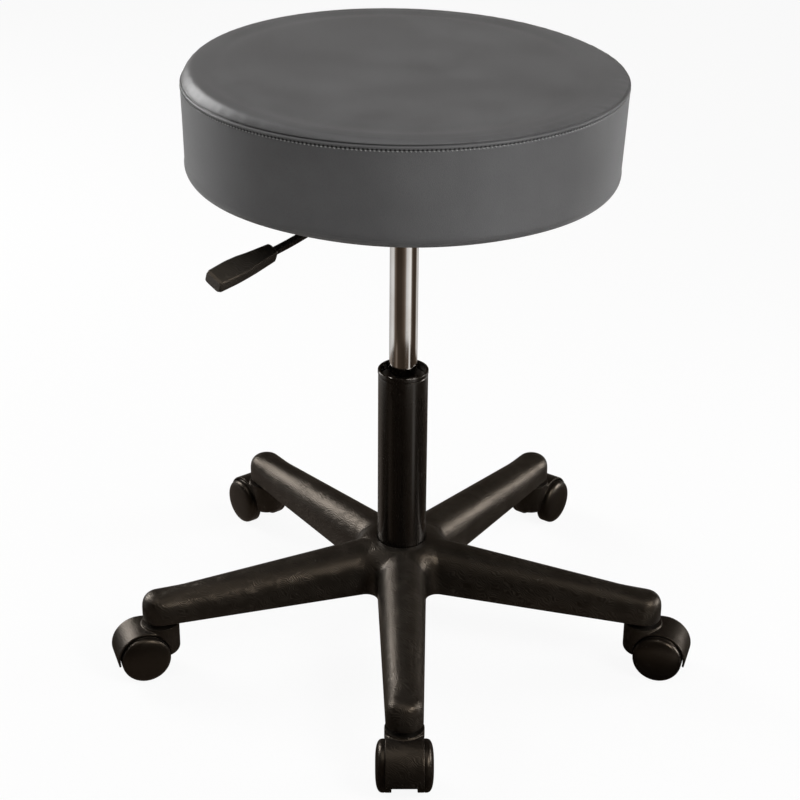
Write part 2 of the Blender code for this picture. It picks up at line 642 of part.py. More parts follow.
def build_lift(column, black, bush, steel, rubber, chrome, brass):
    add("column_tube", lathe(tube_profile(), COLUMN_FACETS), black, column)
    bush_outer = TUBE_RADIUS - TUBE_WALL - FIT
    bush_profile = ring_profile(BUSH_BORE, bush_outer, BUSH_TOP - BUSH_LENGTH, BUSH_LENGTH)
    add("guide_bush", lathe(bush_profile, COLUMN_FACETS), bush, column)
    lower = ring_profile(ROD_BORE, RACE_RADIUS, RACE_BOTTOM, RACE_THICKNESS)
    upper = ring_profile(ROD_BORE, RACE_RADIUS, UPPER_RACE_BOTTOM, RACE_THICKNESS)
    cage = ring_profile(ROD_BORE + CAGE_INSET, RACE_RADIUS - CAGE_INSET, CAGE_BOTTOM, CAGE_THICKNESS)
    add("bearing_race_lower", lathe(lower, RING_FACETS), steel, column)
    add("bearing_race_upper", lathe(upper, RING_FACETS), steel, column)
    add("bearing_cage", lathe(cage, RING_FACETS), brass, column)
    add("retaining_clip", clip_mesh(), steel, column)
    add("piston_rod", lathe(rod_profile(), PIN_FACETS), steel, column)
    bumper = ring_profile(ROD_BORE, BUMPER_RADIUS, BUMPER_BOTTOM, BUMPER_HEIGHT)
    add("bump_ring", lathe(bumper, RING_FACETS), rubber, column)
    add("gas_cylinder", lathe(cylinder_profile(), COLUMN_FACETS), chrome, column)
    pin = [(0, VALVE_TOP), (VALVE_RADIUS, VALVE_TOP), (VALVE_RADIUS, CYLINDER_TOP - VALVE_DEPTH)]
    add("valve_pin", lathe(pin + [(0, CYLINDER_TOP - VALVE_DEPTH)], PIN_FACETS), brass, column)


def socket_profile():
    """The taper socket, with a lip that stands on the floor of the seat plate's well."""
    lip_bottom = WELL_FLOOR + PLATE_THICKNESS + FIT
    lip_top = lip_bottom + SOCKET_LIP_THICKNESS
    lip = SOCKET_RADIUS + SOCKET_LIP
    points = [(TAPER_RADIUS + FIT, SOCKET_TOP), (SOCKET_RADIUS, SOCKET_TOP), (SOCKET_RADIUS, lip_top)]
    points += [(lip, lip_top), (lip, lip_bottom), (SOCKET_RADIUS, lip_bottom), (SOCKET_RADIUS, SOCKET_BOTTOM)]
    points.append((CYLINDER_RADIUS + FIT, SOCKET_BOTTOM))
    return points


def square_ring(half_size, corner, height, segments):
    """A square with round corners, as points at even angles round each corner's arc."""
    per_corner = segments // 4
    points = []
    for quarter in range(4):
        middle = math.pi / 4 + quarter * math.pi / 2
        reach = (half_size - corner) * math.sqrt(2)
        centre = (reach * math.cos(middle), reach * math.sin(middle))
        for x, y in arc(centre, corner, middle - math.pi / 4, middle + math.pi / 4, per_corner - 1):
            points.append(Vector((x, y, height)))
    return points


def plate_mesh():
    """The pressed seat plate: a square flange round a tapered well, pierced for socket, bolts and lever."""
    lower = PLATE_TOP - PLATE_THICKNESS
    wall = PLATE_THICKNESS
    hole = SOCKET_RADIUS + FIT
    inner = [(WELL_MOUTH_RADIUS + WELL_ROUNDING, PLATE_TOP), (WELL_MOUTH_RADIUS, PLATE_TOP - WELL_ROUNDING)]
    inner += [(WELL_FLOOR_RADIUS, WELL_FLOOR + wall + WELL_ROUNDING)]
    inner += [(WELL_FLOOR_RADIUS - WELL_ROUNDING, WELL_FLOOR + wall), (hole, WELL_FLOOR + wall)]
    outer = [(hole, WELL_FLOOR), (WELL_FLOOR_RADIUS - WELL_ROUNDING, WELL_FLOOR)]
    outer += [(WELL_FLOOR_RADIUS + wall, WELL_FLOOR + wall + WELL_ROUNDING)]
    outer += [(WELL_MOUTH_RADIUS + wall, PLATE_TOP - WELL_ROUNDING - wall)]
    outer += [(WELL_MOUTH_RADIUS + wall + WELL_ROUNDING, lower)]
    rings = [square_ring(PLATE_HALF_SIZE, PLATE_CORNER, PLATE_TOP, PLATE_FACETS)]
    phase = math.pi / PLATE_FACETS
    rings += [circle(radius, height, PLATE_FACETS, phase) for radius, height in inner + outer]
    rings.append(square_ring(PLATE_HALF_SIZE, PLATE_CORNER, lower, PLATE_FACETS))
    steps = []
    for x, y in bolt_places():
        low, high = (Vector((x, y, z)) for z in (lower - wall, PLATE_TOP + wall))
        steps.append(("DIFFERENCE", cylinder(BOLT_RADIUS + FIT, low, high, HOLE_FACETS)))
    ends = [LEVER_PIVOT_RADIUS + side * 2 * GROMMET_LENGTH for side in (-1, 1)]
    inside, outside = (Vector((x, 0, LEVER_HEIGHT)) for x in ends)
    steps.append(("DIFFERENCE", cylinder(GROMMET_RADIUS + FIT, inside, outside, PIN_FACETS)))
    return combine(loft(rings, closed=True), steps)


def bolt_places():
    half = BOLT_SPACING / 2
    return [(x, y) for x in (-half, half) for y in (-half, half)]


def bolt_mesh():
    """A hexagon bolt, head down, from under the flange up into the seat board."""
    head_top = PLATE_TOP - PLATE_THICKNESS - FIT
    head_bottom = head_top - BOLT_HEAD_HEIGHT
    end = BOARD_TOP - BOLT_END_COVER
    corners = circle(BOLT_HEAD_HALF_WIDTH / math.cos(math.pi / 6), 0, 6)
    hexagon = []
    for k in range(6):
        hexagon += [corners[k], (corners[k] + corners[(k + 1) % 6]) / 2]
    rings = [[point + Vector((0, 0, z)) for point in hexagon] for z in (head_bottom, head_top)]
    rings += [circle(BOLT_RADIUS, z, HOLE_FACETS) for z in (head_top, end)]
    return loft(rings)


def lever_path():
    """Centre line of the lever from over the valve pin, through its pivot at the origin, into the handle.

    Returns the points in the lever's upright plane and the place where the handle starts.
    """
    points = [(-LEVER_PIVOT_RADIUS - LEVER_OVERRUN, 0.0), (0.0, 0.0)]
    bend = (LEVER_LEAD, -LEVER_BEND_RADIUS)
    points += arc(bend, LEVER_BEND_RADIUS, math.pi / 2, math.pi / 2 - LEVER_DIP, BEND_STEPS)
    x, z = points[-1]
    centre = (x + LEVER_SWEEP_RADIUS * math.sin(LEVER_DIP), z + LEVER_SWEEP_RADIUS * math.cos(LEVER_DIP))
    start = -math.pi / 2 - LEVER_DIP
    points += arc(centre, LEVER_SWEEP_RADIUS, start, -math.pi / 2 - LEVER_END_SLOPE, SWEEP_STEPS)[1:]
    x, z = mouth = points[-1]
    points.append((x + LEVER_GRIP * math.cos(LEVER_END_SLOPE), z - LEVER_GRIP * math.sin(LEVER_END_SLOPE)))
    return points, mouth


def lever_mesh():
    """A round bar swept along the lever's centre line."""
    points, mouth = lever_path()
    rings = []
    for k, (x, z) in enumerate(points):
        before = points[max(k - 1, 0)]
        after = points[min(k + 1, len(points) - 1)]
        slope = math.atan2(after[1] - before[1], after[0] - before[0])
        up = Vector((-math.sin(slope), 0, math.cos(slope)))
        ring = []
        for point in circle(LEVER_RADIUS, 0, HOLE_FACETS):
            ring.append(Vector((x, point.x, z)) + up * point.y)
        rings.append(ring)
    return loft(rings)


def handle_mesh():
    """The paddle on the lever: a flat top that widens to a finger pad, and a waist in its underside.

    Each section has a half width, a height above the bar and a depth below it, at a share of the length.
    """
    stations = [(0, HANDLE_MOUTH), (0.03, HANDLE_NECK), (0.36, HANDLE_BELLY), (0.52, HANDLE_WAIST)]
    stations += [(0.70, HANDLE_PAD), (0.96, HANDLE_LIP), (1, HANDLE_END)]
    cut = HANDLE_CHAMFER
    rings = []
    for share, (half, above, below) in stations:
        corners = [(half - cut, above), (half, above - cut), (half, cut - below), (half - cut, -below)]
        corners += [(-y, z) for y, z in reversed(corners)]
        rings.append([Vector((share * HANDLE_LENGTH, y, z)) for y, z in corners])
    ends = [Vector((x, 0, 0)) for x in (-LEVER_GRIP, LEVER_GRIP + FIT)]
    socket = cylinder(LEVER_RADIUS + FIT, ends[0], ends[1], HOLE_FACETS)
    return combine(loft(rings), [("DIFFERENCE", socket)])


def build_mechanism(column, painted, steel, plastic):
    frame = axis_empty("seat_plate_axis", (0, 0, 0), column, -math.pi / 2 - LEVER_AZIMUTH)
    add("seat_plate", plate_mesh(), painted, frame)
    add("taper_socket", lathe(socket_profile(), COLUMN_FACETS), steel, frame)
    bolt = bolt_mesh()
    for index, (x, y) in enumerate(bolt_places()):
        add(f"seat_bolt_{index + 1}", bolt, steel, frame, Matrix.Translation((x, y, 0)))
    pivot = axis_empty("lever_axis", (LEVER_PIVOT_RADIUS, 0, LEVER_HEIGHT), frame)
    grommet = ring_profile(GROMMET_BORE, GROMMET_RADIUS, -GROMMET_LENGTH / 2, GROMMET_LENGTH)
    across = Matrix.Rotation(math.pi / 2, 4, "Y")
    add("lever_grommet", lathe(grommet, PIN_FACETS), plastic, pivot, across)
    add("lever_rod", lever_mesh(), painted, pivot)
    points, mouth = lever_path()
    place = Matrix.Translation((mouth[0], 0, mouth[1])) @ Matrix.Rotation(LEVER_END_SLOPE, 4, "Y")
    add("lever_handle", handle_mesh(), plastic, pivot, place @ Matrix.Rotation(HANDLE_ROLL, 4, "X"))


def crown_height(radius):
    """Height of the seat's top over the seam at a radius: a low crown that runs into the rolled edge."""
    return EDGE_ROLL + CROWN_RISE * (1 - (radius / (SEAT_RADIUS - EDGE_ROLL)) ** 2)


def top_profile():
    """The top panel from its crown out to the rolled edge at the seam and back along its underside."""
    edge = SEAT_RADIUS - EDGE_ROLL
    radii = [edge * share for share in CROWN_STATIONS]
    outer = [(radius, SEAM_Z + crown_height(radius)) for radius in radii]
    outer += arc((edge, SEAM_Z), EDGE_ROLL, math.pi / 2, 0, 3)
    crown = outer[:len(CROWN_STATIONS)]
    under = [(radius, height - COVER_THICKNESS) for radius, height in reversed(crown)]
    inner_roll = EDGE_ROLL - COVER_THICKNESS
    return outer + arc((edge, SEAM_Z), inner_roll, 0, math.pi / 2, 2)[:-1] + under


def band_outline(inset):
    """The side band's section, drawn in by an inset: straight tapered side, round foot and turned-in wrap."""
    centre = (BAND_FOOT_RADIUS - BAND_ROUNDING, SEAT_BOTTOM + BAND_ROUNDING)
    middle = (BAND_RADIUS - BAND_TAPER / 2 - inset, (SEAM_Z + centre[1]) / 2)
    side = [(BAND_RADIUS - inset, SEAM_Z - FIT), middle]
    foot = arc(centre, BAND_ROUNDING - inset, 0, -math.pi / 2, 4)
    return side + foot + [(WRAP_RADIUS, SEAT_BOTTOM + inset)]


def foam_profile():
    """The foam block on the board, filling the cover from its wrap to its crown."""
    skin = COVER_THICKNESS + FIT
    side = band_outline(skin)[:-3]
    roll = SEAM_Z + EDGE_ROLL - skin
    crown = [(0, SEAM_Z + crown_height(0) - skin)]
    for share in CROWN_STATIONS[1:3]:
        radius = (SEAT_RADIUS - EDGE_ROLL) * share
        crown.append((radius, SEAM_Z + crown_height(radius) - skin))
    shoulder = [(SEAT_RADIUS - 2 * EDGE_ROLL - FIT, roll)]
    under = [(BOARD_RADIUS + FIT, side[-1][1]), (BOARD_RADIUS + FIT, BOARD_TOP + FIT), (0, BOARD_TOP + FIT)]
    return crown + shoulder + side + under


def pierced_disc(radius, low, thickness, segments):
    """A round board with the four bolt holes."""
    disc = loft([circle(radius, height, segments) for height in (low, low + thickness)])
    steps = []
    turn = Matrix.Rotation(-math.pi / 2 - LEVER_AZIMUTH, 3, "Z")
    for x, y in bolt_places():
        ends = [turn @ Vector((x, y, z)) for z in (low - thickness, low + 2 * thickness)]
        steps.append(("DIFFERENCE", cylinder(BOLT_RADIUS + FIT, ends[0], ends[1], HOLE_FACETS)))
    return combine(disc, steps)


def build_seat(column, wood, foam, leather, cloth):
    board = pierced_disc(BOARD_RADIUS, BOARD_BOTTOM, BOARD_THICKNESS, SEAT_FACETS)
    add("seat_board", board, wood, column)
    add("seat_foam", lathe(foam_profile(), SEAT_FACETS), foam, column)
    add("cover_top", lathe(top_profile(), SEAT_FACETS), leather, column)
    band = band_outline(0) + band_outline(COVER_THICKNESS)[::-1]
    add("cover_band", lathe(band, SEAT_FACETS), leather, column)
    dust = pierced_disc(WRAP_RADIUS - FIT, SEAT_BOTTOM, COVER_THICKNESS, SEAT_FACETS)
    add("dust_cover", dust, cloth, column)


clear_scene()
nylon = material("black_nylon", (0.018, 0.016, 0.015), 0.42)
enamel = material("black_enamel", (0.008, 0.007, 0.007), 0.18)
chrome_plate = material("chrome_plate", (0.78, 0.76, 0.73), 0.08, 1.0)
bright_steel = material("bright_steel", (0.55, 0.54, 0.53), 0.30, 1.0)
brass_metal = material("brass_metal", (0.65, 0.48, 0.22), 0.30, 1.0)
plain_rubber = material("black_rubber", (0.02, 0.02, 0.02), 0.80)
tread_plastic = material("tread_plastic", (0.016, 0.014, 0.013), 0.38)
handle_plastic = material("handle_plastic", (0.022, 0.021, 0.020), 0.45)
bush_plastic = material("bush_plastic", (0.012, 0.012, 0.012), 0.50)
plywood = material("plywood", (0.52, 0.36, 0.20), 0.70)
seat_foam = material("seat_foam", (0.78, 0.74, 0.62), 0.95)
grey_leather = material("grey_leather", (0.088, 0.088, 0.092), 0.52)
black_cloth = material("black_cloth", (0.015, 0.015, 0.016), 0.95)

column_axis = axis_empty("column_axis", (0, COLUMN_Y, 0))
build_base(column_axis, nylon)
build_casters(column_axis, bright_steel, nylon, tread_plastic)
build_lift(column_axis, enamel, bush_plastic, bright_steel, plain_rubber, chrome_plate, brass_metal)
build_mechanism(column_axis, enamel, bright_steel, handle_plastic)
build_seat(column_axis, plywood, seat_foam, grey_leather, black_cloth)
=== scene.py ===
"""Looks of a massage stool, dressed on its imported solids: star base, casters, gas lift, lever and padded seat."""
import json
import math

import bmesh
import bpy
import numpy as np
from mathutils import Matrix, Vector


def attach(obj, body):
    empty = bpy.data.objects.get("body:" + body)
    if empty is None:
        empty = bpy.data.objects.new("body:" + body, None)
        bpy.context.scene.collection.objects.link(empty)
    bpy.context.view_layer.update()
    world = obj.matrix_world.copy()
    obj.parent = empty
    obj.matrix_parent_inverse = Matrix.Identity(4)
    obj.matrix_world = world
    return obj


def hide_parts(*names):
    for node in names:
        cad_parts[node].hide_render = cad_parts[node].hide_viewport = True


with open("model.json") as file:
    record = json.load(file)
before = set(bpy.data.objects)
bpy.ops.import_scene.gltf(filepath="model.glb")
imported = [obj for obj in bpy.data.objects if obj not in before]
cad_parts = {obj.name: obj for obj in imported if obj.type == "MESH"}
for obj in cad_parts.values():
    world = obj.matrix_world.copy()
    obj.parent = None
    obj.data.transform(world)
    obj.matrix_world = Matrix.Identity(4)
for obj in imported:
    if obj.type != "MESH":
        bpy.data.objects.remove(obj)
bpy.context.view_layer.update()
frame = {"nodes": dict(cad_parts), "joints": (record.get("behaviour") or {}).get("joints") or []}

# Studio: a pale floor runs on into a white background, under soft boxes from above, both sides and the front. A
# dim round tent with white wedges on its ground cloth is seen by mirrors alone and gives the gloss its streaks.
scene = bpy.context.scene
scene.view_settings.view_transform = "Standard"
joints = {joint["name"]: joint for joint in frame["joints"]}
column = Vector(joints["seat_turn"]["pos_m"])
PHOTO_SIDE, FOCAL_PIXELS, CENTRE_PIXEL, SENSOR = 800, 1965.2, 402.9, 36
CAMERA_DISTANCE, CAMERA_HEIGHT = 1.7539, 1.1684
CAMERA_DIP, CAMERA_ROLL, CAMERA_SWING = math.radians(27.2304), math.radians(0.5469), math.radians(-0.9701)
AMBIENT, WHITE, FLOOR_GREY = (0.17, 0.168, 0.166), (1, 1, 1), (0.86, 0.86, 0.855)
FLOOR_HALF, FLOOR_Z, FLOOR_WHITENESS = 9.0, -0.0002, 0.92
TENT_RADIUS, TENT_Z, TENT_WALL, TENT_PALING = 3.2, 0.0001, 0.06, 2.2
TENT_NEAR, TENT_BLEND, STREAK_START, STREAK_BLEND = 0.60, 0.02, 0.24, 0.18
TENT_BROWN = (1.0, 0.70, 0.48)
NEAR_TONES = ((-180, 0.08), (-140, 0.20), (-122, 0.26), (-108, 0.14), (-98, 0.03), (-72, 0.08), (-60, 0.20),
              (-45, 0.05), (0, 0.03), (35, 0.08), (48, 0.20), (55, 0.05), (66, 0.02), (115, 0.06), (180, 0.08))
NEAR_STREAK = ((42, 0), (48, 0.7), (54, 0.7), (59, 0))
FAR_TONES = ((-180, 0.06), (-150, 0.5), (-95, 0.8), (-75, 0.13), (-55, 0.04), (-20, 0.045), (0, 0.09), (12, 0.22),
             (22, 0.65), (54, 1.0), (66, 0.12), (80, 0.05), (108, 0.05), (128, 0.7), (150, 0.5), (180, 0.06))


def assign(thing, settings):
    """Set several properties of a node, modifier, lamp or the like."""
    for key, value in settings.items():
        setattr(thing, key, value)
    return thing


def shown(name, data):
    """A new object in the scene that carries a mesh, a lamp or a camera."""
    item = bpy.data.objects.new(name, data)
    scene.collection.objects.link(item)
    return item


def node(tree, kind, inputs=(), **settings):
    """Place one shader node. Settings are its properties, inputs its sockets by name or number, as values or links."""
    made = assign(tree.nodes.new("ShaderNode" + kind), settings)
    for key, value in dict(inputs).items():
        if isinstance(value, bpy.types.NodeSocket):
            tree.links.new(value, made.inputs[key])
        else:
            made.inputs[key].default_value = value
    return made


def maths(tree, operation, first, second=0.0):
    """One arithmetic step on numbers or links, such as a sum, a power or the greater of two."""
    return node(tree, "Math", {0: first, 1: second}, operation=operation).outputs[0]


def times(tree, first, second):
    """The product of two numbers or links."""
    return maths(tree, "MULTIPLY", first, second)


def mixed(tree, share, first, second):
    """A colour between two, by a share from 0 to 1; each may be a colour or a link."""
    colours = [c if isinstance(c, bpy.types.NodeSocket) else (*c, 1) for c in (first, second)]
    return node(tree, "Mix", {0: share, 6: colours[0], 7: colours[1]}, data_type="RGBA").outputs[2]


def shows_background(tree):
    """1 for the rays that show the background itself: straight from the camera, in a mirror or through glass."""
    path = node(tree, "LightPath").outputs
    seen = maths(tree, "MAXIMUM", path["Is Camera Ray"], path["Is Transmission Ray"])
    return maths(tree, "MAXIMUM", seen, path["Is Glossy Ray"])


def mesh_of(name, points, faces):
    """A mesh of points (any shape of grid) and faces, with double points merged and the faces turned outwards."""
    mesh = bpy.data.meshes.new(name)
    mesh.from_pydata(points.reshape(-1, 3).tolist(), [], faces)
    shape = bmesh.new()
    shape.from_mesh(mesh)
    bmesh.ops.remove_doubles(shape, verts=shape.verts, dist=2e-6)
    bmesh.ops.recalc_face_normals(shape, faces=shape.faces)
    shape.to_mesh(mesh)
    shape.free()
    return mesh


def quads_of(index):
    """The corners of each cell between neighbours in the last two axes of an array of point numbers."""
    return np.stack([index[..., :-1, :-1], index[..., :-1, 1:], index[..., 1:, 1:], index[..., 1:, :-1]], -1)


def skin(name, grid, join_rows=False, join_columns=True, keep=None):
    """Quads between neighbouring points of a grid (rows, columns, 3).

    Rows and columns may join end to end, and keep is a mask of the quads to make.
    """
    index = np.arange(grid[..., 0].size).reshape(grid.shape[:2])
    if join_columns:
        index = np.column_stack([index, index[:, :1]])
    if join_rows:
        index = np.vstack([index, index[:1]])
    quads = quads_of(index)
    return mesh_of(name, grid, (quads.reshape(-1, 4) if keep is None else quads[keep]).tolist())


def around(count):
    """Angles of evenly spaced points round a full turn, from 0."""
    return 2 * math.pi * np.arange(count) / count


def round_points(radius, angle, height):
    """Points (x, y, z) at a radius and an angle about Z and at a height, for arrays that fit together."""
    return np.stack(np.broadcast_arrays(radius * np.cos(angle), radius * np.sin(angle), height), -1)


lens = bpy.data.cameras.new("camera")
lens.sensor_width = SENSOR
lens.lens = FOCAL_PIXELS * SENSOR / PHOTO_SIDE
lens.shift_x = (PHOTO_SIDE / 2 - CENTRE_PIXEL) / PHOTO_SIDE
camera = shown("camera", lens)
aim = Matrix.Rotation(math.pi / 2 - CAMERA_DIP, 4, "X") @ Matrix.Rotation(CAMERA_ROLL, 4, "Z")
stand = Matrix.Rotation(CAMERA_SWING, 4, "Z") @ Matrix.Translation((0, -CAMERA_DISTANCE, CAMERA_HEIGHT))
camera.matrix_world = Matrix.Translation(column) @ stand @ aim
scene.camera = camera

scene.world = bpy.data.worlds.new("studio")
scene.world.use_nodes = True
sky_tree = scene.world.node_tree
sky_tree.nodes.clear()
sky = node(sky_tree, "Background", {"Color": mixed(sky_tree, shows_background(sky_tree), AMBIENT, WHITE)})
node(sky_tree, "OutputWorld", {"Surface": sky.outputs[0]})


def stage_piece(name, mesh):
    """A backdrop surface with an empty material; returns the object and the material's tree."""
    paint = bpy.data.materials.new(name)
    paint.use_nodes = True
    paint.node_tree.nodes.clear()
    mesh.materials.append(paint)
    item = shown(name, mesh)
    return item, paint.node_tree


floor_x, floor_y = FLOOR_HALF * np.mgrid[-1:2:2, -1:2:2][::-1]
floor_grid = np.stack([floor_x, floor_y, 0 * floor_x + FLOOR_Z], -1)
floor_tree = stage_piece("floor", skin("floor", floor_grid, join_columns=False))[1]
matt = node(floor_tree, "BsdfDiffuse", {"Color": (*FLOOR_GREY, 1)})
glow = node(floor_tree, "Emission", {"Color": (*WHITE, 1), "Strength": 1.0})
whitened = times(floor_tree, shows_background(floor_tree), FLOOR_WHITENESS)
floor_mix = node(floor_tree, "MixShader", {0: whitened, 1: matt.outputs[0], 2: glow.outputs[0]})
node(floor_tree, "OutputMaterial", {"Surface": floor_mix.outputs[0]})


def tent_tones(x, y):
    """Brightness of the ground cloth: stops by the angle from the camera, one row near the column and one far off."""
    reach, swing = np.hypot(x, y), np.degrees(np.arctan2(x, -y))
    near, streak, far = (np.interp(swing, *np.transpose(stops)) for stops in (NEAR_TONES, NEAR_STREAK, FAR_TONES))
    near = near + streak * np.clip((reach - STREAK_START) / STREAK_BLEND, 0, 1)
    return near + (far - near) * np.clip((reach - TENT_NEAR) / TENT_BLEND, 0, 1)


swing = around(360)
reach = np.append(np.linspace(0.01, 0.80, 80), 0.999 * TENT_RADIUS)[:, None]
lift = np.radians(np.append(np.arange(0, 88, 4.0), 89.9))[:, None]
cloth = round_points(reach, swing, 0.0)
dome = round_points(TENT_RADIUS * np.cos(lift), swing, TENT_RADIUS * np.sin(lift))
tent_mesh = skin("tent", np.concatenate([cloth, dome]) + [column.x, column.y, TENT_Z])
tones = np.concatenate([tent_tones(cloth[..., 0], cloth[..., 1]), np.full(dome.shape[:2], TENT_WALL)])
tent_mesh.attributes.new("tone", "FLOAT", "POINT").data.foreach_set("value", tones.ravel().astype(np.float32))
tent, tent_tree = stage_piece("tent", tent_mesh)
tone = node(tent_tree, "Attribute", attribute_name="tone").outputs["Fac"]
tent_colour = mixed(tent_tree, times(tent_tree, tone, TENT_PALING), TENT_BROWN, WHITE)
tent_glow = node(tent_tree, "Emission", {"Color": tent_colour, "Strength": tone})
node(tent_tree, "OutputMaterial", {"Surface": tent_glow.outputs[0]})
tent.visible_camera = tent.visible_diffuse = tent.visible_shadow = tent.visible_transmission = False


def soft_box(name, place, target, width, height, energy, spread=180):
    """A rectangular soft light, aimed at a point; a grid on it may narrow its spread, in degrees."""
    lamp = assign(bpy.data.lights.new(name, "AREA"), {"shape": "RECTANGLE", "size": width, "size_y": height,
                                                      "energy": energy, "spread": math.radians(spread)})
    item = shown(name, lamp)
    turn = (Vector(target) - Vector(place)).to_track_quat("-Z", "Y").to_matrix().to_4x4()
    item.matrix_world = Matrix.Translation(place) @ turn
    item.visible_camera = False


soft_box("top_light", (-0.5, -0.5, 2.6), (0, 0, 0.5), width=1.8, height=1.6, energy=12)
soft_box("left_light", (-1.68, 1.2, 1.15), (0, 0, 0.3), width=0.9, height=1.2, energy=33)
soft_box("right_light", (2.2, 0.5, 0.60), (0.1, 0.15, 0.06), width=0.9, height=1.1, energy=2.4, spread=40)
soft_box("front_light", (1.5, -1.2, 1.75), (0, 0, 0.40), width=1.0, height=0.9, energy=30)

# Star base: one injection-moulded nylon piece with five tapering legs. The tops are full round and run together
# in filleted saddles at the hub; the underside is opened by ribbed pockets, and the hub takes the tube's taper.
LEGS, STEM_CIRCLE = 5, 0.258
LEG_END_HALF, LEG_END_REACH = 0.0181, 0.0175
LEG_ROOT_HALF, LEG_ROOT_DISTANCE = 0.0245, 0.060
LEG_BOTTOM, HUB_TOP, HUB_BOTTOM = 0.0593, 0.1078, 0.0513
LEG_END_TOP, LEG_EDGE, CROTCH_FILLET = LEG_BOTTOM + 0.0285, 0.0010, 0.012
HUB_BORE, HUB_BORE_FOOT, HUB_COLLAR, HUB_CHAMFER, COLLAR_CHAMFER = 0.0253, 0.0239, 0.0303, 0.0008, 0.0006
TIP_SQUARENESS, TIP_BLEND = 0.30, 0.025
LEG_WALL, LEG_RIB = 0.0035, 0.003
POCKETS, POCKETS_START, POCKETS_END = 4, 0.064, 0.228
FILLET_STEPS, SIDE_STEPS, TIP_STEPS, ROUND_STEPS, EDGE_STEPS = 14, 30, 16, 18, 3
SHARP = math.radians(38)
SPECK_GREY, SPECULAR_BROWN, CURL_PALING = (0.30, 0.28, 0.25), (1.0, 0.80, 0.60, 1), 7.0
taper = math.atan2(LEG_ROOT_HALF - LEG_END_HALF, STEM_CIRCLE - LEG_ROOT_DISTANCE)
half_sector = math.pi / LEGS
leg_angles = -math.pi / 2 + around(LEGS)
upright = Matrix.Translation(column)


def group(name, inputs):
    """An empty node group with number inputs; returns its tree and the sockets that give the inputs."""
    tree = bpy.data.node_groups.new(name, "ShaderNodeTree")
    for label, value in inputs.items():
        tree.interface.new_socket(label, in_out="INPUT", socket_type="NodeSocketFloat").default_value = value
    return tree, tree.nodes.new("NodeGroupInput").outputs


def put_out(tree, **values):
    """Give a node group its named outputs, each linked to a value; returns the finished group."""
    for label in values:
        tree.interface.new_socket(label, in_out="OUTPUT", socket_type="NodeSocketFloat")
    ends = tree.nodes.new("NodeGroupOutput").inputs
    for label, value in values.items():
        tree.links.new(value, ends[label])
    return tree


def place_of(tree):
    """The piece's own coordinates, which a pattern sits on."""
    return node(tree, "TexCoord").outputs["Object"]


def noise(tree, scale, detail, place=None, **sockets):
    """Noise from 0 to 1 on the piece's own coordinates, or on others."""
    place = place_of(tree) if place is None else place
    return node(tree, "TexNoise", {"Vector": place, "Scale": scale, "Detail": detail, **sockets}).outputs[0]


def ranged(tree, value, low, high, start=0.0, end=1.0):
    """A value moved from one range into another, and held inside it."""
    ends = {"Value": value, "From Min": start, "From Max": end, "To Min": low, "To Max": high}
    return node(tree, "MapRange", ends).outputs[0]


def spots(tree, scale, inner, outer, rarity):
    """Round spots in a few cells of a Voronoi pattern, full inside an inner distance and gone past an outer one."""
    cells = node(tree, "TexVoronoi", {"Vector": place_of(tree), "Scale": scale}).outputs
    chosen = node(tree, "SeparateColor", {0: cells["Color"]}).outputs[0]
    round_spots = ranged(tree, cells["Distance"], 1, 0, inner, outer)
    return times(tree, round_spots, maths(tree, "GREATER_THAN", chosen, rarity))


def blended(tree, first, share, second, rest):
    """The sum of two values, each times its share."""
    return maths(tree, "ADD", times(tree, first, share), times(tree, second, rest))


def moulded_grain():
    """Eroded-mould texture: a wave bent by noise into swirls of fine lines, with pits, broad tone and stray specks."""
    tree, given = group("moulded_grain", {"Curl Scale": 145, "Grain Scale": 900})
    bends = {"Vector": place_of(tree), "Scale": given["Curl Scale"], "Distortion": 17.0, "Detail": 1.0,
             "Detail Scale": 0.55}
    curls = node(tree, "TexWave", bends, bands_direction="DIAGONAL").outputs[1]
    patches = ranged(tree, noise(tree, 60.0, 2.0), 0.6, 1, 0.38, 0.62)
    curls = maths(tree, "POWER", times(tree, curls, patches), 1.8)
    grain = noise(tree, given["Grain Scale"], 3.0)
    tone = noise(tree, 16.0, 4.0, Roughness=0.6)
    return put_out(tree, Height=blended(tree, curls, 0.8, grain, 0.2), Curls=curls, Tone=tone,
                   Specks=spots(tree, 260.0, 0.05, 0.14, 0.93))


def coated(name, sockets):
    """A new material with plain values on the shader's own sockets; returns it, its tree and its shader."""
    paint = bpy.data.materials.new(name)
    paint.use_nodes = True
    shader = paint.node_tree.nodes["Principled BSDF"]
    for key, value in sockets.items():
        shader.inputs[key].default_value = value
    return paint, paint.node_tree, shader


def feed(tree, shader, colour, roughness, height, strength, depth=0.0005):
    """Link the varying colour, roughness and bump height of a surface to its shader."""
    bump = node(tree, "Bump", {"Strength": strength, "Distance": depth, "Height": height})
    for key, link in (("Base Color", colour), ("Roughness", roughness), ("Normal", bump.outputs[0])):
        tree.links.new(link, shader.inputs[key])


